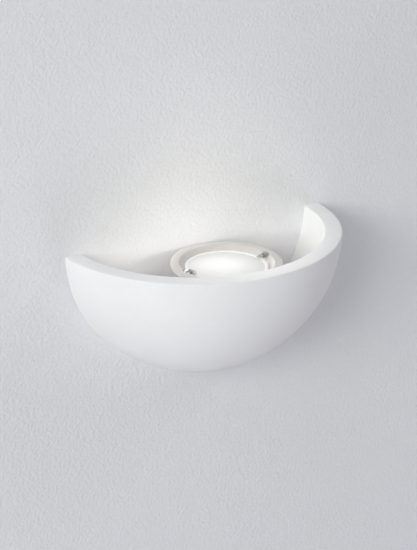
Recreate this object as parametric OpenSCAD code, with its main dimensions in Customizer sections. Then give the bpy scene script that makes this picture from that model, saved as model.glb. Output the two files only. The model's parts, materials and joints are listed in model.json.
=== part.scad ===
// Uplighter wall sconce: a quarter-sphere bowl of cast plaster round a flat LED lamp unit.
// The bowl hangs on two lugs of the lamp unit, the lamp unit stands on a folded steel bracket,
// and the bracket is screwed to the wall over a junction box.
// Origin: on the wall face, midway between the two wall-screw slots. +Z is up, the room is -Y.

$fn = 96;

/* [Plaster bowl] */
// Radius of the outer sphere
bowl_r = 130; // [126:1:150]
// Thickness of the plaster
bowl_wall = 15.5; // [10:0.5:16.5]
// How far the sphere's centre lies behind the wall face
bowl_back = 4; // [0:0.5:6]
// How far the sphere's centre lies above the rim
bowl_up = 4; // [0:0.5:6]
// Rounding of the rim's inner and outer edges
rim_round = 1; // [0.5:0.1:2.5]
// Height of the wall screws above the lowest point inside the bowl
screw_up = 26.5; // [25:0.5:30]

/* [Bowl bosses] */
// Radius of a boss at its top
boss_r = 7.5; // [6.5:0.5:9]
// Extra radius of a boss at its foot, the draft that lets the core out
boss_draft = 2; // [0:0.5:3]
// Width of the web that joins a boss to the bowl
web_w = 12; // [8:1:15]
// Outer radius of the brass insert
insert_r = 3; // [2.7:0.1:3.6]
// Length of the brass insert
insert_len = 10; // [8:1:14]

/* [Lamp unit] */
// Gap between the wall and the clamp ring
lamp_gap = 1; // [0.8:0.1:2]
// How far the clamp ring lies below the rim
ring_drop = 14; // [13:0.5:17]
// Width of the clamp ring, its bevel included
ring_w = 11.6; // [10.4:0.2:12.6]
// Gap between the glass's edge and the clamp ring's opening
ring_lip = 1.6; // [1.2:0.1:2.2]
// Width of the bevel inside the ring
ring_bevel = 4.4; // [3:0.2:6]
// Size of the clamp ring's small edge bevels
ring_edge = 0.6; // [0.3:0.1:0.8]
// Thickness of the clamp ring
ring_t = 3.6; // [3:0.2:4.4]
// Margin of the pads that take the ring screws round their washers
pad_edge = 0.2; // [0.1:0.1:0.6]
// Sinking of the pads below the ring's top
pad_sink = 2.4; // [1.6:0.1:2.6]

/* [Lens] */
// Radius of the glass
lens_r = 35.2; // [33:0.1:37]
// Thickness of the glass at its edge
lens_t = 3; // [2.5:0.5:4]
// Rise of the glass dome
lens_dome = 2.4; // [1:0.2:2.8]
// Thickness of the silicone under, over and round the glass
gasket_t = 0.8; // [0.6:0.1:1]
// How far the silicone laps over the glass
gasket_lap = 1.8; // [1:0.2:2.4]

/* [Lamp body] */
// Thickness of the body's wall round the lens
body_wall = 2.9; // [2.4:0.1:4]
// Depth from the lens seat to the floor the board lies on
cup_depth = 16; // [13:1:18]
// Width of the seat under the glass's edge
seat_w = 3.6; // [3:0.2:4.6]
// Thickness of the floor under the board
floor_t = 5; // [4:0.5:6]
// Height of the cooling fins
fin_h = 12; // [8:1:14]
// Thickness of a fin
fin_t = 1.6; // [1.2:0.1:2]
// Number of fins
fin_count = 24; // [18:1:28]
// Radius of the solid core between the fins
core_r = 11; // [9:1:14]
// How much narrower the fins are at the foot
fin_taper = 5; // [3:0.5:6]

/* [Lugs] */
// Distance from the clamp ring's edge to a lug's screw
lug_out = 5.5; // [5.5:0.5:7]
// Angle of a lug forward of the lamp's cross axis
lug_angle = 35; // [32:1:38]
// Thickness of a lug
lug_t = 4; // [3:0.5:6]
// Radius of a lug's end
lug_end = 6.5; // [6:0.5:7.5]
// Width of the open slot in a lug
lug_slot = 4.6; // [4.4:0.1:5]

/* [Light source] */
// Radius of the LED board
board_r = 24; // [23.5:0.5:25]
// Thickness of the LED board
board_t = 1.6; // [1:0.2:2]
// Thickness of the thermal pad
pad_t = 0.5; // [0.3:0.1:1]
// Radius of the inner circle of LEDs
led_in_r = 5; // [4:0.5:7]
// Number of LEDs on the inner circle
led_in_count = 5; // [3:1:6]
// Radius of the outer circle of LEDs
led_out_r = 12.5; // [10:0.5:14]
// Number of LEDs on the outer circle
led_out_count = 11; // [6:1:14]
// Width of an LED
led_w = 2.8; // [2:0.2:3.5]
// Height of an LED
led_h = 0.7; // [0.5:0.1:1]
// Thickness of the reflector
reflector_t = 0.8; // [0.5:0.1:1.2]

/* [Bracket] */
// Thickness of the steel
steel_t = 2; // [1.5:0.5:2.5]
// Inner radius of the folds
fold_r = 1; // [0.5:0.5:2]
// Room between the driver's ears and the bracket's sides
bracket_gap = 5; // [4:0.5:7]
// How far the shelf runs past its front lamp screws
shelf_lip = 6.5; // [5:0.5:8]
// Angle of the front lamp screws forward of the lamp's cross axis
base_angle = 38; // [36:1:45]
// How far the plate reaches below the wall screws
plate_down = 12; // [10:0.5:12.5]
// Size of the plate's cut corners
plate_corner = 8; // [6:1:12]
// Height of the side flanges at the wall
flange_rear = 18; // [12:1:20]
// Height of the side flanges at the front
flange_front = 8; // [6:1:12]
// Distance between the wall-screw slots
wall_screw_gap = 60; // [56:1:62]
// Length of a wall-screw slot, end to end
wall_slot_len = 12; // [8:0.5:14]
// Width of a wall-screw slot
wall_slot_w = 5; // [4:0.5:6]
// Radius of the cable bush's hole through the plate
entry_r = 6; // [5.5:0.5:7]
// Bore of the cable bush
bush_bore_r = 4; // [3:0.5:4.5]
// Distance of the earth screw to the right of the cable hole
earth_x = 16; // [15:0.5:18]
// Distance of the earth screw below the shelf
earth_drop = 15; // [13:0.5:17]

/* [Terminal block] */
// Distance between two poles
pole_gap = 10; // [9:0.5:12]
// Depth of the block, wire side to wire side
block_d = 17; // [15:1:18]
// Height of the block
block_h = 15; // [14:1:17]
// Distance of the block's middle pole to the left of the centre
block_x = 21; // [20:1:22]
// Distance from the block's ends to its clamping screws
clamp_inset = 4; // [3.5:0.5:5]

/* [Driver] */
// Length of the driver's case
driver_w = 60; // [50:1:61]
// Depth of the driver's case
driver_d = 20; // [16:1:22]
// Height of the driver's case
driver_h = 15; // [12:1:16]
// Room for the leads between the terminal block and the driver
lead_room = 7; // [7:0.5:9]
// Width of a driver ear
ear_w = 7; // [7:0.5:9]
// Thickness of a driver ear
ear_t = 2; // [1.5:0.5:3]
// Thickness of the driver's lid
driver_lid_t = 2.5; // [2:0.5:4]

/* [Screws] */
// Shank radius of an M4 screw
m4_r = 2; // [2:0.1:2.1]
// Shank radius of the ring screws
ring_screw_r = 1.75; // [1.5:0.05:1.8]
// Shank radius of an M3 screw
m3_r = 1.5; // [1.4:0.1:1.6]
// Thickness of a washer
washer_t = 0.8; // [0.5:0.1:1]
// Radius of the washers on the ring
ring_washer_r = 5.5; // [5:0.1:5.5]
// Radius of the washers on the lugs
lug_washer_r = 4.4; // [4.2:0.1:4.6]
// Length of the ring screws
ring_screw_len = 16; // [12:1:16]
// How far the housing screws reach into the lamp body
base_screw_in = 8; // [6:1:9]

/* [Leads] */
// Radius of an insulated lead
lead_r = 1; // [0.8:0.1:1.1]
// Sides of a lead
lead_sides = 10; // [8:1:12]

/* [Hidden] */
fit = 0.05; // radial clearance of a screw, insert or contact in its hole
gap = 0.3; // clearance round parts that drop in
over = 1; // how far a cutting shape runs past the surface it cuts
far = 400; // larger than the whole light

bowl_in = bowl_r - bowl_wall;
rim_z = bowl_in - bowl_up - screw_up;
bowl_centre = [0, bowl_back, rim_z + bowl_up];

ring_in = lens_r + ring_lip;
ring_r = ring_in + ring_w;
lamp_out = ring_r + lamp_gap;
ring_top = rim_z - ring_drop;
ring_under = ring_top - ring_t;
pad_top = ring_top - pad_sink;
pad_r = ring_washer_r + pad_edge;
screw_gap = 0.25; // between the glass and a ring screw
ring_screw_x = lens_r + ring_screw_r + screw_gap;

seat_gap = 0.4; // round the silicone in its seat
seat_z = ring_under - 2 * gasket_t - lens_t;
seat_r = lens_r + gasket_t + seat_gap;
body_r = seat_r + body_wall;
cup_r = lens_r - seat_w;
cup_floor = seat_z - cup_depth;
fin_top = cup_floor - floor_t;
base_z = fin_top - fin_h;
ring_bore = 11; // depth of the ring screws' holes below the seat

reflector_rim = 1.9; // how far the reflector's rim lies on the seat
reflector_out = cup_r + reflector_rim;

board_z = cup_floor + pad_t;
board_top = board_z + board_t;
board_edge = 1; // from the heads of the board screws to the board's edge
board_screw_x = board_r - 2 * m3_r - board_edge;
board_screw_in = 3; // how far the board screws reach into the floor

lug_r = ring_r + lug_out;
lug_top = ring_under;
lug_under = lug_top - lug_t;
lug_at = [lug_r * cos(lug_angle), -lug_r * sin(lug_angle)];

base_boss_r = 5;
base_edge = 5.3; // from a base boss to the narrow end of the fins
base_hole_r = body_r - fin_taper - base_boss_r - base_edge;
base_angles = [90, -base_angle, 180 + base_angle];
wire_x = 7;
wire_edge = 5.7; // from the middle of the wire hole to the board's edge
wire_hole = [wire_x, board_r - wire_edge]; // from the lamp's axis, through board, floor and shelf
wire_hole_r = 2.4;
wire_tube_t = 1.6; // wall of the tube the leads run in, through the fins
shelf_bush_r = wire_hole_r + 1.2;
shelf_bush_flange = shelf_bush_r + 0.7;
shelf_bush_gap = 0.5; // between the bush and the driver

driver_out = lamp_out - wire_hole[1] + shelf_bush_flange + shelf_bush_gap;
block_out = driver_out - lead_room - block_d;
block_mid_y = -block_out - block_d / 2;
driver_y = -driver_out - driver_d / 2;

shelf_under = base_z - steel_t;
ear_d = ear_w + 2;
ear_margin = 1.5; // of the full-width shelf in front of the driver's ears
shelf_d = lamp_out + base_hole_r * sin(base_angle) + shelf_lip;
shelf_front_w = 2 * (base_hole_r * cos(base_angle) + shelf_lip);
shelf_side = driver_out + (driver_d + ear_d) / 2 + ear_margin;
bracket_side = driver_w / 2 + ear_w + bracket_gap;
bracket_w = 2 * bracket_side;
plate_low = -plate_down;
earth_z = shelf_under - earth_drop;
bend_out = fold_r + steel_t;
bush_flange_t = 1.5;
tag_t = 0.8;

block_z = shelf_under - block_h;
contact_drop = 6; // from the shelf to the middle of the contacts
contact_z = shelf_under - contact_drop;
contact_r = 2.5;
contact_bore = 1.7;
clamp_screw_r = 1.3;
fixing_sink = 6; // how deep the fixing screws' heads lie in the block
pole_xs = [for (i = [-1 : 1]) i * pole_gap - block_x];
fixing_xs = [for (i = [-0.5, 0.5]) i * pole_gap - block_x];
clamp_ys = [-block_out - clamp_inset, clamp_inset - block_out - block_d];

plug_back = 10; // from the wire hole to the board's connector
plug_shift = 1.2;
plug_at = [wire_hole[0] - plug_back, wire_hole[1] - plug_shift - lamp_out];

driver_corner = 2;
driver_z = shelf_under - driver_h;
ear_hole_x = driver_w / 2 + ear_w / 2;
driver_wire_z = shelf_under - driver_h / 2;
driver_wire_in = 6; // depth of the lead holes in the driver
driver_wire_gap = 3; // from the case's middle to each lead hole
driver_wire_ys = [driver_y - driver_wire_gap, driver_y + driver_wire_gap];
lead_gap = 1.3; // from the middle of a pair of leads to each of them
lead_in = 5; // how far a lead reaches into the terminal block
driver_lead_in = 4; // and into the driver
barrel_r = lead_r + 0.6; // the earth tag's crimp round its lead

sides = [-1, 1];

// ---- shared shapes ----

module at_lamp() {
    translate([0, -lamp_out, 0]) children();
}

module at_lugs() {
    for (s = sides) at_lamp() translate([s * lug_at[0], lug_at[1], 0]) children();
}

// At a lug's screw, turned so that X points away from the lamp's axis
module outward(s) {
    translate([s * lug_at[0], lug_at[1], 0]) rotate(s > 0 ? -lug_angle : 180 + lug_angle) children();
}

module at_base_holes() {
    at_lamp() for (a = base_angles) translate(base_hole_r * [cos(a), sin(a), 0]) children();
}

module at_wire_hole() {
    at_lamp() translate([wire_hole[0], wire_hole[1], 0]) children();
}

module slot_outline(length, width) {
    for (s = sides) translate([s * (length - width) / 2, 0]) circle(d = width);
    square([length - width, width], center = true);
}

module rounded_outline(w, d, r) {
    square([w - 2 * r, d], center = true);
    square([w, d - 2 * r], center = true);
    for (sx = sides, sy = sides) translate([sx * (w / 2 - r), sy * (d / 2 - r)]) circle(r);
}

// Pan-head screw, head up, standing on z = 0 with its shank below
module pan_screw(shank, head, head_h, length) {
    dome = (head * head + head_h * head_h) / (2 * head_h) + head / 2;
    recess = [1.2 * head, 0.22 * head];
    recess_z = 0.45 * head_h;
    difference() {
        intersection() {
            cylinder(r = head, h = head_h);
            translate([0, 0, head_h - dome]) sphere(dome);
        }
        for (a = [0, 90]) rotate(a)
            translate([-recess[0] / 2, -recess[1] / 2, recess_z]) cube([recess[0], recess[1], head_h]);
    }
    translate([0, 0, -length]) cylinder(r = shank, h = length + recess_z / 2);
}

// Countersunk screw, head up, its top at z = 0
module flat_screw(shank, head, length) {
    recess = [1.1 * head, 0.2 * head];
    recess_depth = 1;
    difference() {
        translate([0, 0, shank - head]) cylinder(r1 = shank, r2 = head, h = head - shank);
        for (a = [0, 90]) rotate(a)
            translate([-recess[0] / 2, -recess[1] / 2, -recess_depth])
                cube([recess[0], recess[1], recess_depth + over]);
    }
    translate([0, 0, -length]) cylinder(r = shank, h = length - head + shank + fit);
}

module washer(outer, inner) {
    difference() {
        cylinder(r = outer, h = washer_t);
        translate([0, 0, -over]) cylinder(r = inner, h = washer_t + 2 * over);
    }
}

function unit(v) = v / norm(v);
function along(path, i) = unit(path[min(i + 1, len(path) - 1)] - path[max(i - 1, 0)]);
function across(t) = unit(cross(t, abs(t[2]) > 0.9 ? [1, 0, 0] : [0, 0, 1]));
function smooth_once(path) = concat([path[0]],
    [for (i = [0 : len(path) - 2], t = [0.25, 0.75]) path[i] * (1 - t) + path[i + 1] * t],
    [path[len(path) - 1]]);

// Insulated lead swept along a list of points, its corners cut twice to round them
module lead(corners) {
    path = smooth_once(smooth_once(corners));
    rings = len(path);
    points = [for (i = [0 : rings - 1]) let (t = along(path, i), u = across(t), v = cross(t, u))
        for (k = [0 : lead_sides - 1]) let (a = 360 * k / lead_sides)
            path[i] + lead_r * (u * cos(a) + v * sin(a))];
    walls = [for (i = [0 : rings - 2], k = [0 : lead_sides - 1]) let (n = (k + 1) % lead_sides)
        [i * lead_sides + k, i * lead_sides + n, (i + 1) * lead_sides + n, (i + 1) * lead_sides + k]];
    foot = [for (k = [lead_sides - 1 : -1 : 0]) k];
    head = [for (k = [0 : lead_sides - 1]) (rings - 1) * lead_sides + k];
    polyhedron(points, concat(walls, [foot, head]));
}

// ---- plaster bowl ----

// Half outline that rounds the rim with two short bevels at each edge
module rim_mask() {
    f = rim_round;
    z = -bowl_up - f;
    outer = sqrt(pow(bowl_r - f, 2) - z * z);
    inner = sqrt(pow(bowl_in + f, 2) - z * z);
    reach = f / cos(15);
    tail = 2 * f;
    polygon([
        [0, -bowl_r - over], [bowl_r + over, -bowl_r - over], [bowl_r + over, z - tail],
        [outer + f * cos(30) + tail * sin(30), z + f * sin(30) - tail * cos(30)],
        [outer + reach * cos(45), z + reach * sin(45)],
        [outer + reach * cos(75), z + reach * sin(75)],
        [inner - reach * cos(75), z + reach * sin(75)],
        [inner - reach * cos(45), z + reach * sin(45)],
        [inner - f * cos(30) - tail * sin(30), z + f * sin(30) - tail * cos(30)],
        [0, z - tail]
    ]);
}

// Tapered boss with a web out to the bowl's wall
module boss_column() {
    height = lug_under - (bowl_centre[2] - bowl_in);
    translate([0, 0, lug_under - height]) cylinder(r1 = boss_r + boss_draft, r2 = boss_r, h = height);
    translate([0, -web_w / 2, lug_under - height]) cube([bowl_in - lug_r, web_w, height]);
}

module plaster_bowl() {
    color("white") difference() {
        union() {
            intersection() {
                translate(bowl_centre) difference() {
                    sphere(bowl_r);
                    sphere(bowl_in);
                }
                translate(bowl_centre) rotate_extrude() rim_mask();
                translate([-far / 2, -far, -far / 2]) cube(far);
            }
            intersection() {
                translate(bowl_centre) sphere(bowl_in + bowl_wall / 2);
                for (s = sides) at_lamp() outward(s) boss_column();
            }
        }
        at_lugs() translate([0, 0, lug_under - insert_len - over])
            cylinder(r = insert_r + fit, h = insert_len + 2 * over);
    }
}

module bowl_inserts() {
    color("goldenrod") at_lugs() translate([0, 0, lug_under - insert_len]) difference() {
        cylinder(r = insert_r, h = insert_len);
        translate([0, 0, -over]) cylinder(r = m4_r + fit, h = insert_len + 2 * over);
    }
}

module bowl_screws() {
    color("silver") at_lugs() translate([0, 0, lug_top + washer_t])
        pan_screw(m4_r, 2 * m4_r, 1.2 * m4_r, lug_t + washer_t + insert_len - over);
}

module bowl_washers() {
    color("silver") at_lugs() translate([0, 0, lug_top]) washer(lug_washer_r, m4_r + gap / 2);
}

// ---- lamp unit ----

module fins() {
    intersection() {
        union() {
            for (i = [0 : fin_count - 1]) rotate(360 * (i + 0.5) / fin_count)
                translate([core_r - over, -fin_t / 2, base_z]) cube([body_r, fin_t, fin_h + over]);
            translate([0, 0, base_z]) cylinder(r = core_r, h = fin_h + over);
        }
        translate([0, 0, base_z]) cylinder(r1 = body_r - fin_taper, r2 = body_r, h = fin_h + over);
    }
}

// Arm from the body out to a bowl screw, with a rib under its root
module lug() {
    root = cup_r + over;
    rib_w = 3;
    rib_h = 9;
    translate([0, 0, lug_under]) linear_extrude(lug_t) {
        circle(lug_end);
        translate([root - lug_r, -lug_end]) square([lug_r - root, 2 * lug_end]);
    }
    translate([-lug_r, rib_w / 2, 0]) rotate([90, 0, 0]) linear_extrude(rib_w) polygon([
        [root, lug_under - rib_h], [body_r, lug_under - rib_h],
        [lug_r - boss_r - gap, lug_under], [root, lug_under]
    ]);
}

module lamp_housing() {
    ring_boss = ring_bore + 3;
    lug_hole = lug_t + 2 * over;
    color("gainsboro") difference() {
        union() {
            at_lamp() translate([0, 0, fin_top]) cylinder(r = body_r, h = ring_under - fin_top);
            at_lamp() fins();
            for (s = sides) at_lamp() translate([s * ring_screw_x, 0, seat_z - ring_boss])
                cylinder(r = 2 * ring_screw_r, h = ring_under - seat_z + ring_boss);
            for (s = sides) at_lamp() outward(s) lug();
            at_base_holes() translate([0, 0, base_z]) cylinder(r = base_boss_r, h = fin_h + over);
            at_wire_hole() translate([0, 0, base_z]) cylinder(r = wire_hole_r + wire_tube_t, h = fin_h + over);
        }
        at_lamp() {
            translate([0, 0, seat_z]) cylinder(r = seat_r, h = far);
            translate([0, 0, seat_z - reflector_t]) cylinder(r = reflector_out + gap / 2, h = far);
            translate([0, 0, cup_floor]) cylinder(r = cup_r, h = far);
            for (s = sides) translate([s * ring_screw_x, 0, seat_z]) {
                translate([0, 0, -ring_bore]) cylinder(r = ring_screw_r + fit, h = ring_bore + over);
                cylinder(r = ring_screw_r + gap, h = far);
            }
            for (s = sides) translate([s * board_screw_x, 0, cup_floor - board_screw_in - over])
                cylinder(r = m3_r + fit, h = board_screw_in + 2 * over);
        }
        at_lugs() translate([0, 0, lug_under - over]) {
            cylinder(d = lug_slot, h = lug_hole);
            translate([-lug_slot / 2, -2 * lug_end, 0]) cube([lug_slot, 2 * lug_end, lug_hole]);
        }
        at_base_holes() translate([0, 0, base_z - over])
            cylinder(r = m4_r + fit, h = base_screw_in + 3 * over);
        at_wire_hole() translate([0, 0, base_z - over]) cylinder(r = wire_hole_r, h = far);
    }
}

// Disc with the holes for the board screws and the leads
module board_disc(radius, thickness) {
    through = thickness + 2 * over;
    difference() {
        at_lamp() cylinder(r = radius, h = thickness);
        for (s = sides) at_lamp() translate([s * board_screw_x, 0, -over])
            cylinder(r = m3_r + gap, h = through);
        at_wire_hole() translate([0, 0, -over]) cylinder(r = wire_hole_r, h = through);
    }
}

module thermal_pad() {
    color("lightgrey") translate([0, 0, cup_floor]) board_disc(board_r - board_edge, pad_t);
}

module led_board() {
    color("ivory") translate([0, 0, board_z]) board_disc(board_r, board_t);
}

module led_emitters() {
    rows = [[led_in_r, led_in_count], [led_out_r, led_out_count]];
    color("khaki") at_lamp() translate([0, 0, board_top])
        for (row = rows, i = [0 : row[1] - 1]) rotate(360 * (i + 0.25) / row[1])
            translate([row[0] - led_w / 2, -led_w / 2, 0]) cube([led_w, led_w, led_h]);
}

module board_screws() {
    color("silver") at_lamp() for (s = sides) translate([s * board_screw_x, 0, board_top])
        pan_screw(m3_r, 2 * m3_r, 1.2 * m3_r, board_t + pad_t + board_screw_in);
}

module board_connector() {
    length = 7;
    wall = 0.3; // outside the leads
    web = 0.7; // under and over them
    socket = 2.5;
    body = [length, 2 * (lead_gap + lead_r + wall), 2 * (lead_r + web)];
    color("white") translate([plug_at[0], plug_at[1], board_top]) difference() {
        translate([-body[0] / 2, -body[1] / 2, 0]) cube(body);
        for (s = sides) translate([body[0] / 2 - socket, s * lead_gap, body[2] / 2]) rotate([0, 90, 0])
            cylinder(r = lead_r + fit, h = socket + over, $fn = 24);
    }
}

// Spun cup: a curved wall from beside the board up to a flat rim under the lens
module reflector() {
    low = board_r + gap;
    high = cup_r - 2 * reflector_t;
    low_z = cup_floor + gap;
    rim_under = seat_z - reflector_t;
    rise = rim_under - low_z;
    bow = 0.6; // share of the rise that follows a curve, the rest being straight
    steps = 8;
    curve = [for (i = [0 : steps]) let (t = i / steps, lift = bow * (1 - cos(90 * t)) + (1 - bow) * t)
        [low + (high - low) * sin(90 * t), low_z + rise * lift]];
    rim = [[high, seat_z], [reflector_out, seat_z], [reflector_out, rim_under]];
    back = [for (i = [steps : -1 : 0]) curve[i] + [reflector_t, 0]];
    color("whitesmoke") at_lamp() rotate_extrude() polygon(concat(curve, rim, back));
}

module lens_gasket() {
    outer = lens_r + gasket_t;
    lap = lens_r - gasket_lap;
    color("snow") at_lamp() difference() {
        translate([0, 0, seat_z]) cylinder(r = outer, h = ring_under - seat_z);
        translate([0, 0, seat_z + gasket_t]) cylinder(r = lens_r, h = lens_t);
        translate([0, 0, seat_z - over]) cylinder(r = lap, h = far);
        for (s = sides) translate([s * ring_screw_x, 0, seat_z - over])
            cylinder(r = ring_screw_r + 2 * gap, h = far);
    }
}

module glass_lens() {
    dome_r = lens_r - gasket_lap - gap;
    curve = (dome_r * dome_r + lens_dome * lens_dome) / (2 * lens_dome);
    color("azure") at_lamp() translate([0, 0, seat_z + gasket_t]) {
        cylinder(r = lens_r, h = lens_t);
        translate([0, 0, lens_t]) intersection() {
            translate([0, 0, lens_dome - curve]) sphere(curve, $fn = 256);
            translate([0, 0, -over / 2]) cylinder(r = dome_r, h = lens_dome + over);
        }
    }
}

module clamp_ring() {
    color("linen") at_lamp() difference() {
        union() {
            rotate_extrude() polygon([
                [ring_in, ring_under], [ring_r - ring_edge, ring_under], [ring_r, ring_under + ring_edge],
                [ring_r, ring_top - ring_edge], [ring_r - ring_edge, ring_top],
                [ring_in + ring_bevel, ring_top]
            ]);
            for (s = sides) translate([s * ring_screw_x, 0, ring_under])
                cylinder(r = pad_r, h = pad_top - ring_under);
        }
        for (s = sides) translate([s * ring_screw_x, 0, 0]) {
            translate([0, 0, pad_top]) cylinder(r = pad_r, h = far);
            translate([0, 0, ring_under - over]) cylinder(r = ring_screw_r + gap / 2, h = far);
        }
    }
}

module at_ring_screws() {
    for (s = sides) at_lamp() translate([s * ring_screw_x, 0, pad_top]) children();
}

module ring_washers() {
    color("silver") at_ring_screws() washer(ring_washer_r, ring_screw_r + gap / 2);
}

module ring_screws() {
    color("silver") at_ring_screws() translate([0, 0, washer_t])
        pan_screw(ring_screw_r, 2 * ring_screw_r, 1.25 * ring_screw_r, ring_screw_len);
}

// ---- bracket ----

module folded_strip() {
    rotate([90, 0, 90]) translate([0, 0, -bracket_side]) linear_extrude(bracket_w) {
        translate([-steel_t, plate_low]) square([steel_t, base_z - bend_out - plate_low]);
        translate([-shelf_d, shelf_under]) square([shelf_d - bend_out, steel_t]);
        translate([-bend_out, base_z - bend_out]) difference() {
            intersection() {
                circle(bend_out);
                square(bend_out);
            }
            circle(fold_r);
        }
    }
}

module side_flange() {
    length = shelf_side - 2 * bend_out;
    rotate([90, 0, 0]) linear_extrude(length) difference() {
        translate([-bend_out, -flange_rear]) square([bend_out, flange_rear]);
        translate([-bend_out - over, -flange_rear - over])
            square([bend_out - steel_t + over, flange_rear + over - bend_out]);
        translate([-bend_out, -bend_out]) circle(fold_r);
        translate([-bend_out - over, -bend_out - fold_r]) square([over, 2 * fold_r]);
    }
}

// The flat outlines that trim the folded strip, seen from above and from the front
module shelf_outline() {
    polygon([
        [-bracket_side, 0], [bracket_side, 0], [bracket_side, -shelf_side],
        [shelf_front_w / 2, -shelf_d], [-shelf_front_w / 2, -shelf_d], [-bracket_side, -shelf_side]
    ]);
}

module plate_outline() {
    polygon([
        [-bracket_side, base_z], [-bracket_side, plate_low + plate_corner],
        [plate_corner - bracket_side, plate_low], [bracket_side - plate_corner, plate_low],
        [bracket_side, plate_low + plate_corner], [bracket_side, base_z]
    ]);
}

module flange_outline() {
    polygon([
        [0, base_z], [-shelf_side, base_z], [-shelf_side, base_z - flange_front], [0, base_z - flange_rear]
    ]);
}

module plate_holes() {
    for (s = sides) translate([s * wall_screw_gap / 2, 0]) slot_outline(wall_slot_len, wall_slot_w);
    circle(entry_r + fit);
    translate([earth_x, earth_z]) circle(m4_r + fit);
}

module shelf_holes() {
    at_wire_hole() circle(shelf_bush_r + fit);
    at_base_holes() circle(m4_r + gap / 2);
    for (x = fixing_xs) translate([x, block_mid_y]) circle(m3_r + fit);
    for (s = sides) translate([s * ear_hole_x, driver_y]) circle(m3_r + fit);
}

module wall_bracket() {
    through = steel_t + 2 * over;
    color("whitesmoke") difference() {
        union() {
            intersection() {
                folded_strip();
                translate([0, 0, plate_low - over]) linear_extrude(far) shelf_outline();
                rotate([90, 0, 0]) translate([0, 0, -over]) linear_extrude(far) plate_outline();
            }
            intersection() {
                for (s = sides) mirror([s < 0 ? 1 : 0, 0, 0]) translate([bracket_side, -bend_out, base_z])
                    side_flange();
                rotate([90, 0, 90]) translate([0, 0, -far / 2]) linear_extrude(far) flange_outline();
            }
        }
        rotate([90, 0, 0]) translate([0, 0, -over]) linear_extrude(through) plate_holes();
        translate([0, 0, shelf_under - over]) linear_extrude(through) shelf_holes();
        at_base_holes() translate([0, 0, shelf_under])
            cylinder(r1 = 2 * m4_r + fit, r2 = m4_r + fit, h = m4_r);
    }
}

// Push-in bush that lines the cable hole; it lies flush with the back of the plate
module cable_bush() {
    flange_w = 2;
    nose = 4;
    nose_wall = 1;
    color("dimgray") rotate([90, 0, 0]) difference() {
        union() {
            cylinder(r = entry_r, h = steel_t);
            translate([0, 0, steel_t]) cylinder(r = entry_r + flange_w, h = bush_flange_t);
            translate([0, 0, steel_t + bush_flange_t])
                cylinder(r1 = entry_r, r2 = bush_bore_r + nose_wall, h = nose);
        }
        translate([0, 0, -over]) cylinder(r = bush_bore_r, h = far);
    }
}

module shelf_bush() {
    flange_t = 1.2;
    color("dimgray") at_wire_hole() translate([0, 0, shelf_under]) difference() {
        union() {
            cylinder(r = shelf_bush_r, h = steel_t);
            translate([0, 0, -flange_t]) cylinder(r = shelf_bush_flange, h = flange_t);
        }
        translate([0, 0, -flange_t - over]) cylinder(r = wire_hole_r, h = far);
    }
}

module housing_screws() {
    color("silver") at_base_holes() translate([0, 0, shelf_under]) mirror([0, 0, 1])
        flat_screw(m4_r, 2 * m4_r, steel_t + base_screw_in);
}

// ---- terminal block under the shelf ----

module terminal_block() {
    corner = 1;
    base_h = 4;
    slit = 1.6; // between two poles
    spine_h = 9;
    spine = [3 * pole_gap - 2 * corner, block_d - 2 * clamp_inset, spine_h];
    screw_hole_r = 2;
    color("ivory") difference() {
        union() {
            translate([-block_x, block_mid_y, shelf_under - base_h]) linear_extrude(base_h)
                rounded_outline(3 * pole_gap, block_d, corner);
            for (x = pole_xs) translate([x, block_mid_y, block_z]) linear_extrude(block_h)
                rounded_outline(pole_gap - slit, block_d, corner);
            translate([-block_x, block_mid_y, contact_z]) cube(spine, center = true);
        }
        for (x = pole_xs) {
            translate([x, 0, contact_z]) rotate([90, 0, 0]) cylinder(r = contact_r + fit, h = far);
            for (y = clamp_ys) translate([x, y, block_z - over])
                cylinder(r = screw_hole_r, h = contact_z - block_z + over);
        }
        for (x = fixing_xs) translate([x, block_mid_y, block_z]) {
            cylinder(r = m3_r + gap, h = block_h + over);
            cylinder(r = 2 * m3_r + gap / 2, h = fixing_sink);
        }
    }
}

module terminal_contacts() {
    inset = 1;
    color("goldenrod") for (x = pole_xs) difference() {
        translate([x, -block_out - inset, contact_z]) rotate([90, 0, 0])
            cylinder(r = contact_r, h = block_d - 2 * inset);
        translate([x, 0, contact_z]) rotate([90, 0, 0]) cylinder(r = contact_bore, h = far);
        for (y = clamp_ys) translate([x, y, contact_z - contact_r - over])
            cylinder(r = clamp_screw_r + fit, h = contact_r + over);
    }
}

module terminal_screws() {
    sink = 2.4; // from the block's underside to the screw's slot
    length = block_h - contact_drop - lead_r - sink;
    slot = [4, 0.5, 0.8];
    foot = contact_z - lead_r - length;
    color("silver") for (x = pole_xs, y = clamp_ys) translate([x, y, foot]) difference() {
        cylinder(r = clamp_screw_r, h = length);
        translate([-slot[0] / 2, -slot[1] / 2, -over]) cube([slot[0], slot[1], slot[2] + over]);
    }
}

module terminal_fixings() {
    color("silver") for (x = fixing_xs) translate([x, block_mid_y, block_z + fixing_sink]) mirror([0, 0, 1])
        pan_screw(m3_r, 2 * m3_r - fit, 1.2 * m3_r, block_h - fixing_sink + steel_t);
}

// ---- earth point on the plate ----

module earth_tag() {
    tongue = [11, 3.4];
    barrel_at = 7;
    barrel_len = 6;
    color("silver") translate([earth_x, -steel_t, earth_z]) rotate([90, 0, 0]) difference() {
        union() {
            cylinder(r = 2 * m4_r, h = tag_t);
            translate([-tongue[0], -tongue[1] / 2, 0]) cube([tongue[0] - over, tongue[1], tag_t]);
            translate([-barrel_at, 0, barrel_r]) rotate([0, -90, 0])
                cylinder(r = barrel_r, h = barrel_len, $fn = 32);
        }
        translate([0, 0, -over]) cylinder(r = m4_r + gap / 2, h = tag_t + 2 * over);
        translate([over - barrel_at, 0, barrel_r]) rotate([0, -90, 0])
            cylinder(r = lead_r + fit, h = barrel_len + 2 * over, $fn = 32);
    }
}

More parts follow.
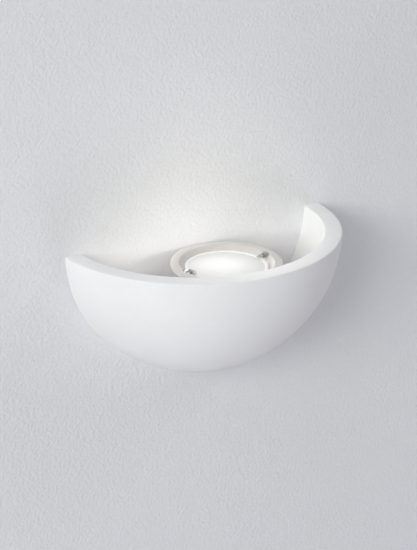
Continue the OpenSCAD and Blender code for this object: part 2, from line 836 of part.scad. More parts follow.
module earth_screw() {
    color("silver") translate([earth_x, -steel_t - tag_t, earth_z]) rotate([90, 0, 0])
        pan_screw(m4_r, 1.9 * m4_r, 1.2 * m4_r, steel_t + tag_t);
}

// ---- driver under the shelf ----

module driver_outline() {
    rounded_outline(driver_w, driver_d, driver_corner);
}

module driver_case() {
    case_h = driver_h - driver_lid_t;
    ears = driver_w + 2 * ear_w;
    color("white") difference() {
        union() {
            translate([0, driver_y, driver_z + driver_lid_t]) linear_extrude(case_h) driver_outline();
            translate([0, driver_y, shelf_under - ear_t]) linear_extrude(ear_t)
                rounded_outline(ears, ear_d, driver_corner);
        }
        for (s = sides) {
            translate([s * ear_hole_x, driver_y, 0]) cylinder(r = m3_r + gap, h = far);
            for (y = driver_wire_ys) translate([s * (driver_w / 2 - driver_wire_in), y, driver_wire_z])
                rotate([0, s * 90, 0]) cylinder(r = lead_r + fit, h = far / 2, $fn = 24);
        }
    }
}

module driver_lid() {
    rib = [1.6, 1.2];
    rib_gap = 4;
    rib_depth = 0.8;
    color("whitesmoke") translate([0, driver_y, driver_z]) difference() {
        linear_extrude(driver_lid_t) driver_outline();
        for (i = [-4 : 4]) translate([i * rib_gap, 0, -over]) linear_extrude(over + rib_depth)
            slot_outline(rib[0], rib[1]);
    }
}

module driver_screws() {
    color("silver") for (s = sides) translate([s * ear_hole_x, driver_y, shelf_under - ear_t])
        mirror([0, 0, 1]) pan_screw(m3_r, 1.9 * m3_r, 1.2 * m3_r, ear_t + steel_t);
}

// ---- leads ----

// From a pole's front to the driver's left end; k = 0 is the outer lead, k = 1 the inner one
module supply_lead(pole, k) {
    x = pole_xs[pole];
    front = -block_out - block_d;
    step = front - lead_room / 2 + 0.6 + (0.5 - k) * 2 * lead_gap;
    turn = (k - 0.5) * 2 * lead_gap - driver_w / 2 - ear_w + 0.1;
    row = driver_wire_ys[k];
    lead([
        [x, front + lead_in, contact_z], [x, step, contact_z], [turn, step, contact_z - lead_r],
        [turn - lead_r, row, driver_wire_z], [driver_lead_in - driver_w / 2, row, driver_wire_z]
    ]);
}

module live_lead() {
    color("saddlebrown") supply_lead(0, 0);
}

module neutral_lead() {
    color("royalblue") supply_lead(2, 1);
}

module earth_lead() {
    x = pole_xs[1];
    y = -steel_t - barrel_r;
    run = 8;
    color("yellowgreen") lead([
        [earth_x - run, y, earth_z], [earth_x - 2 * run, y, earth_z],
        [x + run, y - lead_r, contact_z - 3 * lead_r], [x, y - lead_r, contact_z],
        [x, -block_out - lead_in, contact_z]
    ]);
}

// From the board's connector down the wire hole to the driver's right end; k = 1 is the outer lead
module led_lead(k) {
    hole = [wire_hole[0], wire_hole[1] - lamp_out];
    plug_y = plug_at[1] + k * lead_gap;
    y = hole[1] + 1.1 * lead_r * k;
    turn = driver_w / 2 + ear_w - lead_r + k * lead_gap;
    row = driver_wire_ys[k > 0 ? 0 : 1];
    plug_z = board_top + 1.7 * lead_r;
    lead([
        [plug_at[0] + 2 * lead_r, plug_y, plug_z], [plug_at[0] + 6 * lead_r, plug_y, plug_z],
        [hole[0], y, board_top + 1.5 * lead_r], [hole[0], y, cup_floor - 4 * lead_r],
        [hole[0], y, shelf_under - lead_r], [hole[0] + lead_r, y, shelf_under - 4 * lead_r],
        [turn, y, shelf_under - 6 * lead_r], [turn, row, driver_wire_z],
        [driver_w / 2 - driver_lead_in, row, driver_wire_z]
    ]);
}

module led_lead_plus() {
    color("firebrick") led_lead(1);
}

module led_lead_minus() {
    color("black") led_lead(-1);
}

plaster_bowl();
bowl_inserts();
bowl_screws();
bowl_washers();
lamp_housing();
thermal_pad();
led_board();
led_emitters();
board_screws();
board_connector();
reflector();
lens_gasket();
glass_lens();
clamp_ring();
ring_washers();
ring_screws();
wall_bracket();
cable_bush();
shelf_bush();
housing_screws();
terminal_block();
terminal_contacts();
terminal_screws();
terminal_fixings();
earth_screw();
earth_tag();
driver_case();
driver_lid();
driver_screws();
live_lead();
neutral_lead();
earth_lead();
led_lead_plus();
led_lead_minus();
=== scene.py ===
import json
import math

import bmesh
import bpy
from mathutils import Matrix, Vector

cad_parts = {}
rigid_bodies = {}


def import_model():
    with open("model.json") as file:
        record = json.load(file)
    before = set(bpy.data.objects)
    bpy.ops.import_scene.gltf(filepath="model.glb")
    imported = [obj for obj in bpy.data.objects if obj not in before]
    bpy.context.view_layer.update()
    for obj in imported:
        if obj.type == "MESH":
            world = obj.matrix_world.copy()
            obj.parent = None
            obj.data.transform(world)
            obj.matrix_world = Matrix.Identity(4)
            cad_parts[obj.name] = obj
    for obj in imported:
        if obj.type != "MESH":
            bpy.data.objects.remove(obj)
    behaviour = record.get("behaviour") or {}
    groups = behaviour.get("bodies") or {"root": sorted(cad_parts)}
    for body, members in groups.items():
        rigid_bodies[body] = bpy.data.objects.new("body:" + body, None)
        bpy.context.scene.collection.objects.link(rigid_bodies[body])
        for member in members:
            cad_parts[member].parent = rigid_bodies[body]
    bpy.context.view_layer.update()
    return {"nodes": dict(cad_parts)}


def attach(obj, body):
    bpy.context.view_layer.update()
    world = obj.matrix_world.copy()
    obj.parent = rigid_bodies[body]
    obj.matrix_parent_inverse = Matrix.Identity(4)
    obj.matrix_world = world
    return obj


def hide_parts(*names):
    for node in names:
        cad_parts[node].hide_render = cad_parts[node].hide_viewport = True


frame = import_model()
mm = 0.001
lampBody = "lamp_and_bracket"
scene = bpy.context.scene


# the camera stands where the photograph was taken from
camera = {
    "place": (-791.6, -1291.5, 663.4),  # mm
    "turn": -31.904,  # degrees from straight at the wall, less than 0 to the right
    "drop": 22.357,   # degrees below level
    "roll": 0.267,
    "lens": 121.1,
}


def addCamera():
    turn, drop, roll = (math.radians(camera[k]) for k in ("turn", "drop", "roll"))
    ahead = Vector((-math.sin(turn) * math.cos(drop), math.cos(turn) * math.cos(drop), -math.sin(drop)))
    right = Vector((math.cos(turn), math.sin(turn), 0))
    up = right.cross(ahead)
    right, up = (math.cos(roll) * right + math.sin(roll) * up,
                 math.cos(roll) * up - math.sin(roll) * right)
    data = bpy.data.cameras.new("camera")
    data.lens = camera["lens"]
    data.clip_start = 0.05
    data.clip_end = 50
    eye = bpy.data.objects.new("camera", data)
    scene.collection.objects.link(eye)
    eye.matrix_world = Matrix.Translation(Vector(camera["place"]) * mm) @ Matrix(
        (right, up, -ahead)).transposed().to_4x4()
    scene.camera = eye


addCamera()
print("camera in place")


def toPiece(name, bm):
    bmesh.ops.remove_doubles(bm, verts=bm.verts, dist=1e-6)
    bmesh.ops.recalc_face_normals(bm, faces=bm.faces)
    mesh = bpy.data.meshes.new(name)
    bm.to_mesh(mesh)
    bm.free()
    piece = bpy.data.objects.new(name, mesh)
    scene.collection.objects.link(piece)
    smooth(piece)
    return piece


def smooth(piece, sharp=30):
    for face in piece.data.polygons:
        face.use_smooth = True
    piece.data.set_sharp_from_angle(angle=math.radians(sharp))


def applyModifiers(piece):
    bpy.context.view_layer.update()
    graph = bpy.context.evaluated_depsgraph_get()
    mesh = bpy.data.meshes.new_from_object(piece.evaluated_get(graph))
    piece.modifiers.clear()
    piece.data = mesh
    mesh.name = piece.name


def combine(piece, shape, operation):
    # the shape is a bmesh, or a piece that is used up
    tool = shape if isinstance(shape, bpy.types.Object) else toPiece("tool", shape)
    step = piece.modifiers.new(operation.lower(), "BOOLEAN")
    step.operation = operation
    step.solver = "EXACT"
    step.object = tool
    applyModifiers(piece)
    bpy.data.objects.remove(tool)
    smooth(piece)


def outline(bm, points, rounds=()):
    # closed outline in the XZ plane, mm; rounds lists (indices, radius, segments)
    corners = [bm.verts.new((x * mm, 0, z * mm)) for x, z in points]
    for i, corner in enumerate(corners):
        bm.edges.new((corner, corners[(i + 1) % len(corners)]))
    for indices, radius, segments in rounds:
        bmesh.ops.bevel(bm, geom=[corners[i] for i in indices], offset=radius * mm, offset_type="OFFSET",
                        affect="VERTICES", segments=segments, profile=0.5, material=-1)


def turned(bm, steps=96):
    # full turn of everything in bm round Z
    bmesh.ops.spin(bm, geom=bm.verts[:] + bm.edges[:], cent=(0, 0, 0), axis=(0, 0, 1),
                   angle=2 * math.pi, steps=steps, use_merge=True)
    bmesh.ops.remove_doubles(bm, verts=bm.verts, dist=1e-6)


def revolved(points, rounds=(), steps=96):
    # solid of revolution round Z from an outline in mm, given as (radius, height)
    bm = bmesh.new()
    outline(bm, points, rounds)
    pole = [e for e in bm.edges if all(abs(v.co.x) < 1e-7 for v in e.verts)]
    bmesh.ops.delete(bm, geom=pole, context="EDGES")
    turned(bm, steps)
    return bm


def moved(bm, place, turn=Matrix()):
    bmesh.ops.transform(bm, matrix=Matrix.Translation(Vector(place) * mm) @ turn, verts=bm.verts)


def rounded(bm, edges, radius, segments=2, clamp=False):
    bmesh.ops.bevel(bm, geom=edges, offset=radius * mm, offset_type="OFFSET", affect="EDGES",
                    segments=segments, profile=0.5, material=-1, clamp_overlap=clamp)


def level(edge):
    return abs(edge.verts[0].co.z - edge.verts[1].co.z) < 1e-7


def cuboid(size):
    # size in mm, centred on the origin
    bm = bmesh.new()
    bmesh.ops.create_cube(bm, size=1)
    bmesh.ops.transform(bm, matrix=Matrix.Diagonal((*[side * mm for side in size], 1)), verts=bm.verts)
    return bm


def raised(bm, corners, rise):
    # solid from a flat outline carried along rise, both in mm; gives its far corners
    face = bm.faces.new([bm.verts.new([c * mm for c in corner]) for corner in corners])
    grown = bmesh.ops.extrude_face_region(bm, geom=[face])
    far = [v for v in grown["geom"] if isinstance(v, bmesh.types.BMVert)]
    bmesh.ops.translate(bm, vec=[r * mm for r in rise], verts=far)
    bmesh.ops.recalc_face_normals(bm, faces=bm.faces)
    return far


def disc(radius, low, high, segments=64, soft=0.0):
    bm = bmesh.new()
    bmesh.ops.create_cone(bm, cap_ends=True, segments=segments, radius1=radius * mm, radius2=radius * mm,
                          depth=(high - low) * mm)
    if soft:
        rounded(bm, [e for e in bm.edges if level(e)], soft)
    moved(bm, (0, 0, (low + high) / 2))
    return bm


def rod(radius, low, high, place, segments=48, soft=0.0):
    bm = disc(radius, low, high, segments, soft)
    moved(bm, (*place, 0))
    return bm


def pair(x, y, z):
    # the same place on the left and on the right
    return [(-x, y, z), (x, y, z)]


def joined(name, parts):
    # one piece from several bmeshes
    whole = bmesh.new()
    for part in parts:
        mesh = bpy.data.meshes.new("part")
        part.to_mesh(mesh)
        part.free()
        whole.from_mesh(mesh)
        bpy.data.meshes.remove(mesh)
    return toPiece(name, whole)


def markEdges(piece, reach=0.5):
    # point attribute "edge": 1 where faces meet at a steep angle, 0 on flat and gently curved skin
    bm = bmesh.new()
    bm.from_mesh(piece.data)
    layer = bm.verts.layers.float.new("edge")
    for vert in bm.verts:
        bends = [e.calc_face_angle(0) for e in vert.link_edges if len(e.link_faces) == 2]
        vert[layer] = min(1, max(bends, default=0) / reach)
    bm.to_mesh(piece.data)
    bm.free()


def placed(piece, paint, node, body=lampBody):
    piece.data.materials.clear()
    piece.data.materials.append(paint)
    markEdges(piece)
    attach(piece, body)
    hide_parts(node)
    return piece


grey = (0.8, 0.8, 0.8, 1)


def newGroup(name, inputs, outputs):
    # inputs and outputs give each socket's default; a colour's has four numbers
    group = bpy.data.node_groups.new(name, "ShaderNodeTree")
    for side, sockets in (("INPUT", inputs), ("OUTPUT", outputs)):
        for label, value in sockets.items():
            kind = "NodeSocketColor" if isinstance(value, tuple) else "NodeSocketFloat"
            socket = group.interface.new_socket(label, in_out=side, socket_type=kind)
            socket.default_value = value
    return group, group.nodes.new("NodeGroupInput"), group.nodes.new("NodeGroupOutput")


def addNode(tree, kind, **settings):
    node = tree.nodes.new(kind)
    for key, value in settings.items():
        if key in node.inputs:
            node.inputs[key].default_value = value
        else:
            setattr(node, key, value)
    return node


def calc(tree, operation, *values, **settings):
    # a math node; each value is a number or an output to link
    node = addNode(tree, "ShaderNodeMath", operation=operation, **settings)
    for socket, value in zip(node.inputs, values):
        if isinstance(value, bpy.types.NodeSocket):
            tree.links.new(value, socket)
        else:
            socket.default_value = value
    return node.outputs[0]


def addNoise(group, scale, detail, roughness):
    where = addNode(group, "ShaderNodeTexCoord")
    noise = addNode(group, "ShaderNodeTexNoise", Detail=detail, Roughness=roughness)
    group.links.new(where.outputs["Object"], noise.inputs["Vector"])
    group.links.new(scale, noise.inputs["Scale"])
    return noise.outputs["Fac"]


def makeMottle():
    # uneven colour and sheen: a wide patchiness and a fine one
    group, given, result = newGroup(
        "mottle",
        {"Colour": grey, "Patch size": 30.0, "Depth": 0.1, "Roughness": 0.5, "Spread": 0.1},
        {"Colour": grey, "Roughness": 0.5})
    scale = calc(group, "DIVIDE", 1000, given.outputs["Patch size"])
    wide = addNoise(group, scale, 3.0, 0.55)
    fine = addNoise(group, calc(group, "MULTIPLY", scale, 9), 5.0, 0.6)
    centred = calc(group, "SUBTRACT", calc(group, "MULTIPLY_ADD", fine, 0.45, wide), 0.725)
    darken = calc(group, "MULTIPLY_ADD", centred, given.outputs["Depth"], 1.0)
    tint = addNode(group, "ShaderNodeVectorMath", operation="SCALE")
    group.links.new(given.outputs["Colour"], tint.inputs[0])
    group.links.new(darken, tint.inputs["Scale"])
    rough = calc(group, "MULTIPLY_ADD", centred, given.outputs["Spread"], given.outputs["Roughness"],
                 use_clamp=True)
    group.links.new(tint.outputs[0], result.inputs["Colour"])
    group.links.new(rough, result.inputs["Roughness"])
    return group


def makeGrain():
    # height of a fine all-over texture: soft lumps of one size with a finer tooth on them
    group, given, result = newGroup("grain", {"Size": 1.0, "Tooth": 0.3}, {"Height": 0.0})
    scale = calc(group, "DIVIDE", 1000, given.outputs["Size"])
    lumps = addNoise(group, scale, 1.5, 0.5)
    tooth = addNoise(group, calc(group, "MULTIPLY", scale, 3.7), 2.0, 0.5)
    height = calc(group, "MULTIPLY_ADD", tooth, given.outputs["Tooth"], lumps)
    group.links.new(height, result.inputs["Height"])
    return group


def makeRub():
    # mask of edges that handling has rubbed, broken up by noise
    group, given, result = newGroup("edgeRub", {"Amount": 0.5, "Size": 2.0}, {"Mask": 0.0})
    edge = addNode(group, "ShaderNodeAttribute", attribute_name="edge")
    noise = addNoise(group, calc(group, "DIVIDE", 1000, given.outputs["Size"]), 4.0, 0.6)
    broken = addNode(group, "ShaderNodeMapRange", **{"From Min": 0.42, "From Max": 0.62})
    group.links.new(noise, broken.inputs["Value"])
    mask = calc(group, "MULTIPLY", edge.outputs["Fac"], broken.outputs["Result"])
    amount = calc(group, "MULTIPLY", mask, given.outputs["Amount"], use_clamp=True)
    group.links.new(amount, result.inputs["Mask"])
    return group


def makeOverlay():
    # a second colour over the first where a value is high
    group, given, result = newGroup(
        "overlay",
        {"Under": grey, "Over": grey, "Value": 0.0, "Low": 0.4, "High": 0.6}, {"Colour": grey, "Mask": 0.0})
    link = group.links.new
    mask = addNode(group, "ShaderNodeMapRange")
    mix = addNode(group, "ShaderNodeMix", data_type="RGBA")
    link(given.outputs["Value"], mask.inputs["Value"])
    link(given.outputs["Low"], mask.inputs["From Min"])
    link(given.outputs["High"], mask.inputs["From Max"])
    link(mask.outputs["Result"], mix.inputs["Factor"])
    link(given.outputs["Under"], mix.inputs["A"])
    link(given.outputs["Over"], mix.inputs["B"])
    link(mix.outputs["Result"], result.inputs["Colour"])
    link(mask.outputs["Result"], result.inputs["Mask"])
    return group


mottle = makeMottle()
grain = makeGrain()
edgeRub = makeRub()
overlay = makeOverlay()
print("node groups made")


def finish(name, look):
    # a coloured, textured surface; look holds what a user would change
    paint = bpy.data.materials.new(name)
    paint.use_nodes = True
    tree = paint.node_tree
    link = tree.links.new
    skin = tree.nodes["Principled BSDF"]
    colour = look["colour"]
    blotch = addNode(tree, "ShaderNodeGroup", node_tree=mottle)
    blotch.inputs["Colour"].default_value = (*colour, 1)
    blotch.inputs["Patch size"].default_value = look.get("patch", 25)
    blotch.inputs["Depth"].default_value = look.get("uneven", 0.1)
    blotch.inputs["Roughness"].default_value = look.get("rough", 0.5)
    blotch.inputs["Spread"].default_value = look.get("roughSpread", 0.15)
    rub = addNode(tree, "ShaderNodeGroup", node_tree=edgeRub)
    rub.inputs["Amount"].default_value = look.get("rub", 0.4)
    rub.inputs["Size"].default_value = look.get("rubSize", 3)
    worn = addNode(tree, "ShaderNodeMix", data_type="RGBA")
    worn.inputs["B"].default_value = (*look.get("worn", [c * 0.8 for c in colour]), 1)
    link(rub.outputs["Mask"], worn.inputs["Factor"])
    link(blotch.outputs["Colour"], worn.inputs["A"])
    link(worn.outputs["Result"], skin.inputs["Base Color"])
    link(blotch.outputs["Roughness"], skin.inputs["Roughness"])
    texture = addNode(tree, "ShaderNodeGroup", node_tree=grain)
    texture.inputs["Size"].default_value = look.get("grain", 1)
    texture.inputs["Tooth"].default_value = look.get("tooth", 0.3)
    bump = addNode(tree, "ShaderNodeBump")
    bump.inputs["Strength"].default_value = look.get("bump", 0.5)
    bump.inputs["Distance"].default_value = look.get("depth", 0.05) * mm
    link(texture.outputs["Height"], bump.inputs["Height"])
    link(bump.outputs["Normal"], skin.inputs["Normal"])
    for socket, value in look.get("shader", {}).items():
        skin.inputs[socket].default_value = value
    return paint


plasterPaint = finish("castPlaster", {
    "colour": (0.85, 0.848, 0.845), "patch": 45, "uneven": 0.07, "rough": 0.88, "roughSpread": 0.12,
    "grain": 1.6, "tooth": 0.5, "bump": 0.5, "depth": 0.05, "rub": 0.12, "worn": (0.76, 0.755, 0.74),
    "rubSize": 4, "shader": {"Specular IOR Level": 0.3}})
castingPaint = finish("castingPaint", {
    "colour": (0.66, 0.63, 0.59), "patch": 18, "uneven": 0.12, "rough": 0.5, "grain": 0.8, "depth": 0.04,
    "rub": 0.5, "worn": (0.5, 0.49, 0.47), "shader": {"Specular IOR Level": 0.45}})
ringPaint = finish("ringPaint", {
    "colour": (0.68, 0.65, 0.61), "patch": 20, "uneven": 0.08, "rough": 0.42, "grain": 0.7, "depth": 0.025,
    "rub": 0.4, "worn": (0.55, 0.53, 0.5), "shader": {"Specular IOR Level": 0.45}})
bracketPaint = finish("bracketPaint", {
    "colour": (0.70, 0.70, 0.69), "patch": 22, "uneven": 0.08, "rough": 0.45, "grain": 0.9, "depth": 0.035,
    "rub": 0.2, "worn": (0.58, 0.58, 0.575), "shader": {"Coat Weight": 0.15}})
platedSteel = finish("platedSteel", {
    "colour": (0.50, 0.50, 0.49), "patch": 5, "uneven": 0.3, "rough": 0.30, "roughSpread": 0.5, "grain": 0.35,
    "tooth": 0.8, "depth": 0.012, "rub": 0.5, "worn": (0.78, 0.78, 0.77), "shader": {"Metallic": 1.0}})
turnedBrass = finish("turnedBrass", {
    "colour": (0.66, 0.46, 0.2), "patch": 5, "uneven": 0.35, "rough": 0.3, "roughSpread": 0.4, "grain": 0.3,
    "tooth": 0.8, "depth": 0.012, "rub": 0.4, "worn": (0.8, 0.62, 0.32), "shader": {"Metallic": 1.0}})
bushRubber = finish("bushRubber", {
    "colour": (0.035, 0.035, 0.036), "patch": 8, "uneven": 0.5, "rough": 0.72, "grain": 0.5, "depth": 0.02,
    "rub": 0.5, "worn": (0.09, 0.09, 0.09)})
terminalNylon = finish("terminalNylon", {
    "colour": (0.70, 0.68, 0.60), "patch": 9, "uneven": 0.1, "rough": 0.48, "grain": 0.6, "depth": 0.015,
    "rub": 0.4, "worn": (0.76, 0.74, 0.67), "shader": {"Subsurface Weight": 0.1, "Subsurface Scale": 0.001}})
driverShell = finish("driverShell", {
    "colour": (0.72, 0.72, 0.71), "patch": 12, "uneven": 0.08, "rough": 0.55, "grain": 0.45, "tooth": 0.7,
    "depth": 0.03, "rub": 0.4, "worn": (0.8, 0.8, 0.8)})
# painted glow: the emission paints the lens's light into the silicone gasket, which gives no light of its own
siliconeSkinPaintedGlow = finish("siliconeSkinPaintedGlow", {
    "colour": (0.72, 0.71, 0.68), "patch": 10, "uneven": 0.08, "rough": 0.55, "grain": 0.7, "depth": 0.015,
    "rub": 0.1, "shader": {"Subsurface Weight": 0.25, "Subsurface Scale": 0.001,
                           "Emission Color": (1.0, 0.98, 0.95, 1), "Emission Strength": 0.26}})
padFoam = finish("padFoam", {
    "colour": (0.33, 0.36, 0.42), "patch": 6, "uneven": 0.2, "rough": 0.8, "grain": 0.5, "depth": 0.03})
boardMask = finish("boardMask", {
    "colour": (0.78, 0.78, 0.75), "patch": 6, "uneven": 0.06, "rough": 0.35, "grain": 1.2, "depth": 0.01})
plugNylon = finish("plugNylon", {
    "colour": (0.76, 0.76, 0.72), "patch": 4, "uneven": 0.08, "rough": 0.35, "grain": 0.4, "depth": 0.01})
spunAluminium = finish("spunAluminium", {
    "colour": (0.86, 0.86, 0.87), "patch": 12, "uneven": 0.06, "rough": 0.22, "roughSpread": 0.3,
    "grain": 0.5, "depth": 0.01, "shader": {"Metallic": 1.0}})


def sheath(name, colour):
    return finish(name, {"colour": colour, "patch": 4, "uneven": 0.15, "rough": 0.42, "grain": 0.5,
                         "depth": 0.01, "rub": 0.0})


brownSheath = sheath("brownSheath", (0.11, 0.045, 0.022))
blueSheath = sheath("blueSheath", (0.03, 0.09, 0.36))
redSheath = sheath("redSheath", (0.42, 0.02, 0.018))
blackSheath = sheath("blackSheath", (0.02, 0.02, 0.021))


def addMask(paint, attribute, colour, low, high):
    # lays a second colour over the first where a point attribute is between low and high
    tree = paint.node_tree
    skin = tree.nodes["Principled BSDF"]
    below = skin.inputs["Base Color"].links[0].from_socket
    where = addNode(tree, "ShaderNodeAttribute", attribute_name=attribute)
    over = addNode(tree, "ShaderNodeGroup", node_tree=overlay, Over=(*colour, 1), Low=low, High=high)
    tree.links.new(where.outputs["Fac"], over.inputs["Value"])
    tree.links.new(below, over.inputs["Under"])
    tree.links.new(over.outputs["Colour"], skin.inputs["Base Color"])
    return over.outputs["Mask"]


earthSheath = sheath("earthSheath", (0.05, 0.28, 0.06))
addMask(earthSheath, "around", (0.72, 0.62, 0.04), 0.25, 0.35)


def makeLitGlass():
    # frosted glass lit from below: bright in the middle, a little dimmer and greyer at the edge
    look = {"colour": (0.62, 0.62, 0.61), "light": (1.0, 0.985, 0.96), "middle": 0.41, "edge": 0.22,
            "centre": (0, -0.0494, 0), "reach": 0.034}
    paint = finish("litGlass", {
        "colour": look["colour"], "patch": 15, "uneven": 0.04, "rough": 0.5, "roughSpread": 0.1,
        "grain": 0.25, "tooth": 0.6, "depth": 0.006, "rub": 0,
        "shader": {"Transmission Weight": 0.25, "IOR": 1.5}})
    tree = paint.node_tree
    link = tree.links.new
    skin = tree.nodes["Principled BSDF"]
    where = addNode(tree, "ShaderNodeTexCoord")
    centred = addNode(tree, "ShaderNodeVectorMath", operation="SUBTRACT")
    centred.inputs[1].default_value = look["centre"]
    flat = addNode(tree, "ShaderNodeVectorMath", operation="MULTIPLY")
    flat.inputs[1].default_value = (1, 1, 0)
    length = addNode(tree, "ShaderNodeVectorMath", operation="LENGTH")
    fall = addNode(tree, "ShaderNodeMapRange", interpolation_type="SMOOTHSTEP", **{
        "From Min": 0.0, "From Max": look["reach"], "To Min": look["middle"], "To Max": look["edge"]})
    glow = addNode(tree, "ShaderNodeVectorMath", operation="SCALE")
    glow.inputs[0].default_value = look["light"]
    link(where.outputs["Object"], centred.inputs[0])
    link(centred.outputs[0], flat.inputs[0])
    link(flat.outputs[0], length.inputs[0])
    link(length.outputs["Value"], fall.inputs["Value"])
    link(fall.outputs["Result"], glow.inputs["Scale"])
    link(glow.outputs[0], skin.inputs["Emission Color"])
    skin.inputs["Emission Strength"].default_value = 1.0
    return paint


litGlass = makeLitGlass()


def makeLedPaint():
    # white moulded body with a glowing yellow window
    paint = finish("ledPaint", {
        "colour": (0.78, 0.77, 0.72), "patch": 3, "uneven": 0.06, "rough": 0.35, "grain": 0.4, "depth": 0.01})
    mask = addMask(paint, "window", (0.82, 0.6, 0.12), 0.4, 0.6)
    tree = paint.node_tree
    skin = tree.nodes["Principled BSDF"]
    glow = addNode(tree, "ShaderNodeVectorMath", operation="SCALE")
    glow.inputs[0].default_value = (1.0, 0.9, 0.7)
    tree.links.new(mask, glow.inputs["Scale"])
    tree.links.new(glow.outputs[0], skin.inputs["Emission Color"])
    skin.inputs["Emission Strength"].default_value = 1.5
    return paint


ledPaint = makeLedPaint()
print("finishes made")


bowl = {
    "radius": 130, "wall": 15.5, "centre": (0, 4, 88), "rim": 84, "rimRound": 1.0,
    "edgeRound": 0.5,                          # where the cut edge meets the wall
    "bossRadius": 7.5, "bossDraft": 2, "bossTop": 62.4, "bossRound": 0.6, "web": (63, 12),
    "insertHole": 3.05, "holeDepth": 12,
    "screws": (44.15, -80.32), "arc": 72, "steps": 120,
}


def shellHalf():
    r, inner = bowl["radius"], bowl["radius"] - bowl["wall"]
    drop = bowl["centre"][2] - bowl["rim"]
    low, high = math.asin(drop / r), math.asin(drop / inner)
    n = bowl["arc"]
    points = []
    for i in range(n + 1):
        a = low + (math.pi / 2 - low) * i / n
        points.append((r * math.cos(a), -r * math.sin(a)))
    for i in range(n, -1, -1):
        a = high + (math.pi / 2 - high) * i / n
        points.append((inner * math.cos(a), -inner * math.sin(a)))
    bm = revolved(points, [([0, len(points) - 1], bowl["rimRound"], 4)], 2 * bowl["steps"])
    moved(bm, bowl["centre"])
    cut = bmesh.ops.bisect_plane(bm, geom=bm.verts[:] + bm.edges[:] + bm.faces[:], dist=1e-7,
                                 plane_co=(0, 0, 0), plane_no=(0, 1, 0), clear_outer=True)
    rim = [e for e in cut["geom_cut"] if isinstance(e, bmesh.types.BMEdge)]
    bmesh.ops.edgeloop_fill(bm, edges=rim)
    corner = [e for e in bm.edges if all(abs(v.co.y) < 1e-7 for v in e.verts)]
    rounded(bm, corner, bowl["edgeRound"], clamp=True)
    return toPiece("plasterBowl", bm)


def bossTool(side):
    x, y = bowl["screws"]
    floor = bowl["centre"][2] - bowl["radius"] + bowl["wall"]
    height = bowl["bossTop"] - floor
    foot = bowl["bossRadius"] + bowl["bossDraft"]
    boss = revolved([(0, 0), (foot, 0), (bowl["bossRadius"], height), (0, height)],
                    [([2], bowl["bossRound"], 3)], 48)
    web = cuboid((*bowl["web"], height))
    top = [e for e in web.edges if all(v.co.z > 0 for v in e.verts)]
    rounded(web, top, bowl["bossRound"], 3)
    moved(web, (bowl["web"][0] / 2, 0, height / 2))
    turn = Matrix.Rotation(math.radians(-35 if side > 0 else 215), 4, "Z")
    for part in (boss, web):
        moved(part, (side * x, y, floor), turn)
    column = toPiece("boss", boss)
    combine(column, web, "UNION")
    # only what lies within the middle of the bowl's wall
    ball = bmesh.new()
    middle = (bowl["radius"] - bowl["wall"] / 2) * mm
    bmesh.ops.create_uvsphere(ball, u_segments=96, v_segments=48, radius=middle)
    moved(ball, bowl["centre"])
    combine(column, ball, "INTERSECT")
    return column


def makeBowl():
    piece = shellHalf()
    for side in (-1, 1):
        combine(piece, bossTool(side), "UNION")
        spot = (side * bowl["screws"][0], bowl["screws"][1])
        top, deep = bowl["bossTop"], bowl["holeDepth"]
        hole = rod(bowl["insertHole"], top - deep, top + deep, spot)
        combine(piece, hole, "DIFFERENCE")
    smooth(piece, 24)
    return placed(piece, plasterPaint, "plaster_bowl", "bowl")


makeBowl()
print("plaster bowl made")


lamp = {"y": -49.4}  # mm, the axis of the lamp


def toLamp(piece):
    # from the origin to the lamp's axis
    piece.data.transform(Matrix.Translation((0, lamp["y"] * mm, 0)))



ring = {
    "outer": 48.4, "inner": 36.8, "under": 66.4, "top": 70, "bevel": 4.4, "round": 0.6, "bevelRound": 0.35,
    "lipRound": 0.12, "screwX": 37.2, "padRadius": 5.7, "padTop": 67.6, "padRound": 0.15, "hole": 1.9,
    "past": 3,  # how far its cutters reach past it
}


def makeRing():
    r = ring
    bm = revolved([(r["inner"], r["under"]), (r["outer"], r["under"]), (r["outer"], r["top"]),
                   (r["inner"] + r["bevel"], r["top"])],
                  [([1, 2], r["round"], 4), ([3], r["bevelRound"], 3), ([0], r["lipRound"], 2)], 160)
    piece = toPiece("clampRing", bm)
    spots = [(side * r["screwX"], 0) for side in (-1, 1)]
    for spot in spots:
        pad = rod(r["padRadius"], r["under"], r["padTop"], spot, 64, r["padRound"])
        combine(piece, pad, "UNION")
    for spot in spots:
        well = rod(r["padRadius"], r["padTop"], r["top"] + r["past"], spot, 64)
        combine(piece, well, "DIFFERENCE")
        hole = rod(r["hole"], r["under"] - r["past"], r["top"] + r["past"], spot, 64)
        combine(piece, hole, "DIFFERENCE")
    toLamp(piece)
    return placed(piece, ringPaint, "clamp_ring")


makeRing()

lens = {"radius": 35.2, "low": 62.6, "edge": 3.0, "domeRadius": 33.1, "dome": 2.4, "round": 0.4, "steps": 40}


def makeLens():
    g = lens
    top = g["low"] + g["edge"]
    curve = (g["domeRadius"] ** 2 + g["dome"] ** 2) / (2 * g["dome"])
    points = [(0, g["low"]), (g["radius"], g["low"]), (g["radius"], top), (g["domeRadius"], top)]
    for i in range(1, g["steps"]):
        x = g["domeRadius"] * (1 - i / g["steps"])
        points.append((x, top + g["dome"] - curve + math.sqrt(curve ** 2 - x ** 2)))
    points.append((0, top + g["dome"]))
    bm = revolved(points, [([1, 2], g["round"], 3)], 128)
    moved(bm, (0, lamp["y"], 0))
    return placed(toPiece("frostedLens", bm), litGlass, "glass_lens")


makeLens()

gasket = {"low": 61.8, "top": 66.4, "outer": 36.0, "lap": 33.4, "glass": 35.2, "thick": 0.8,
          "round": 0.25, "screwGap": 2.35}


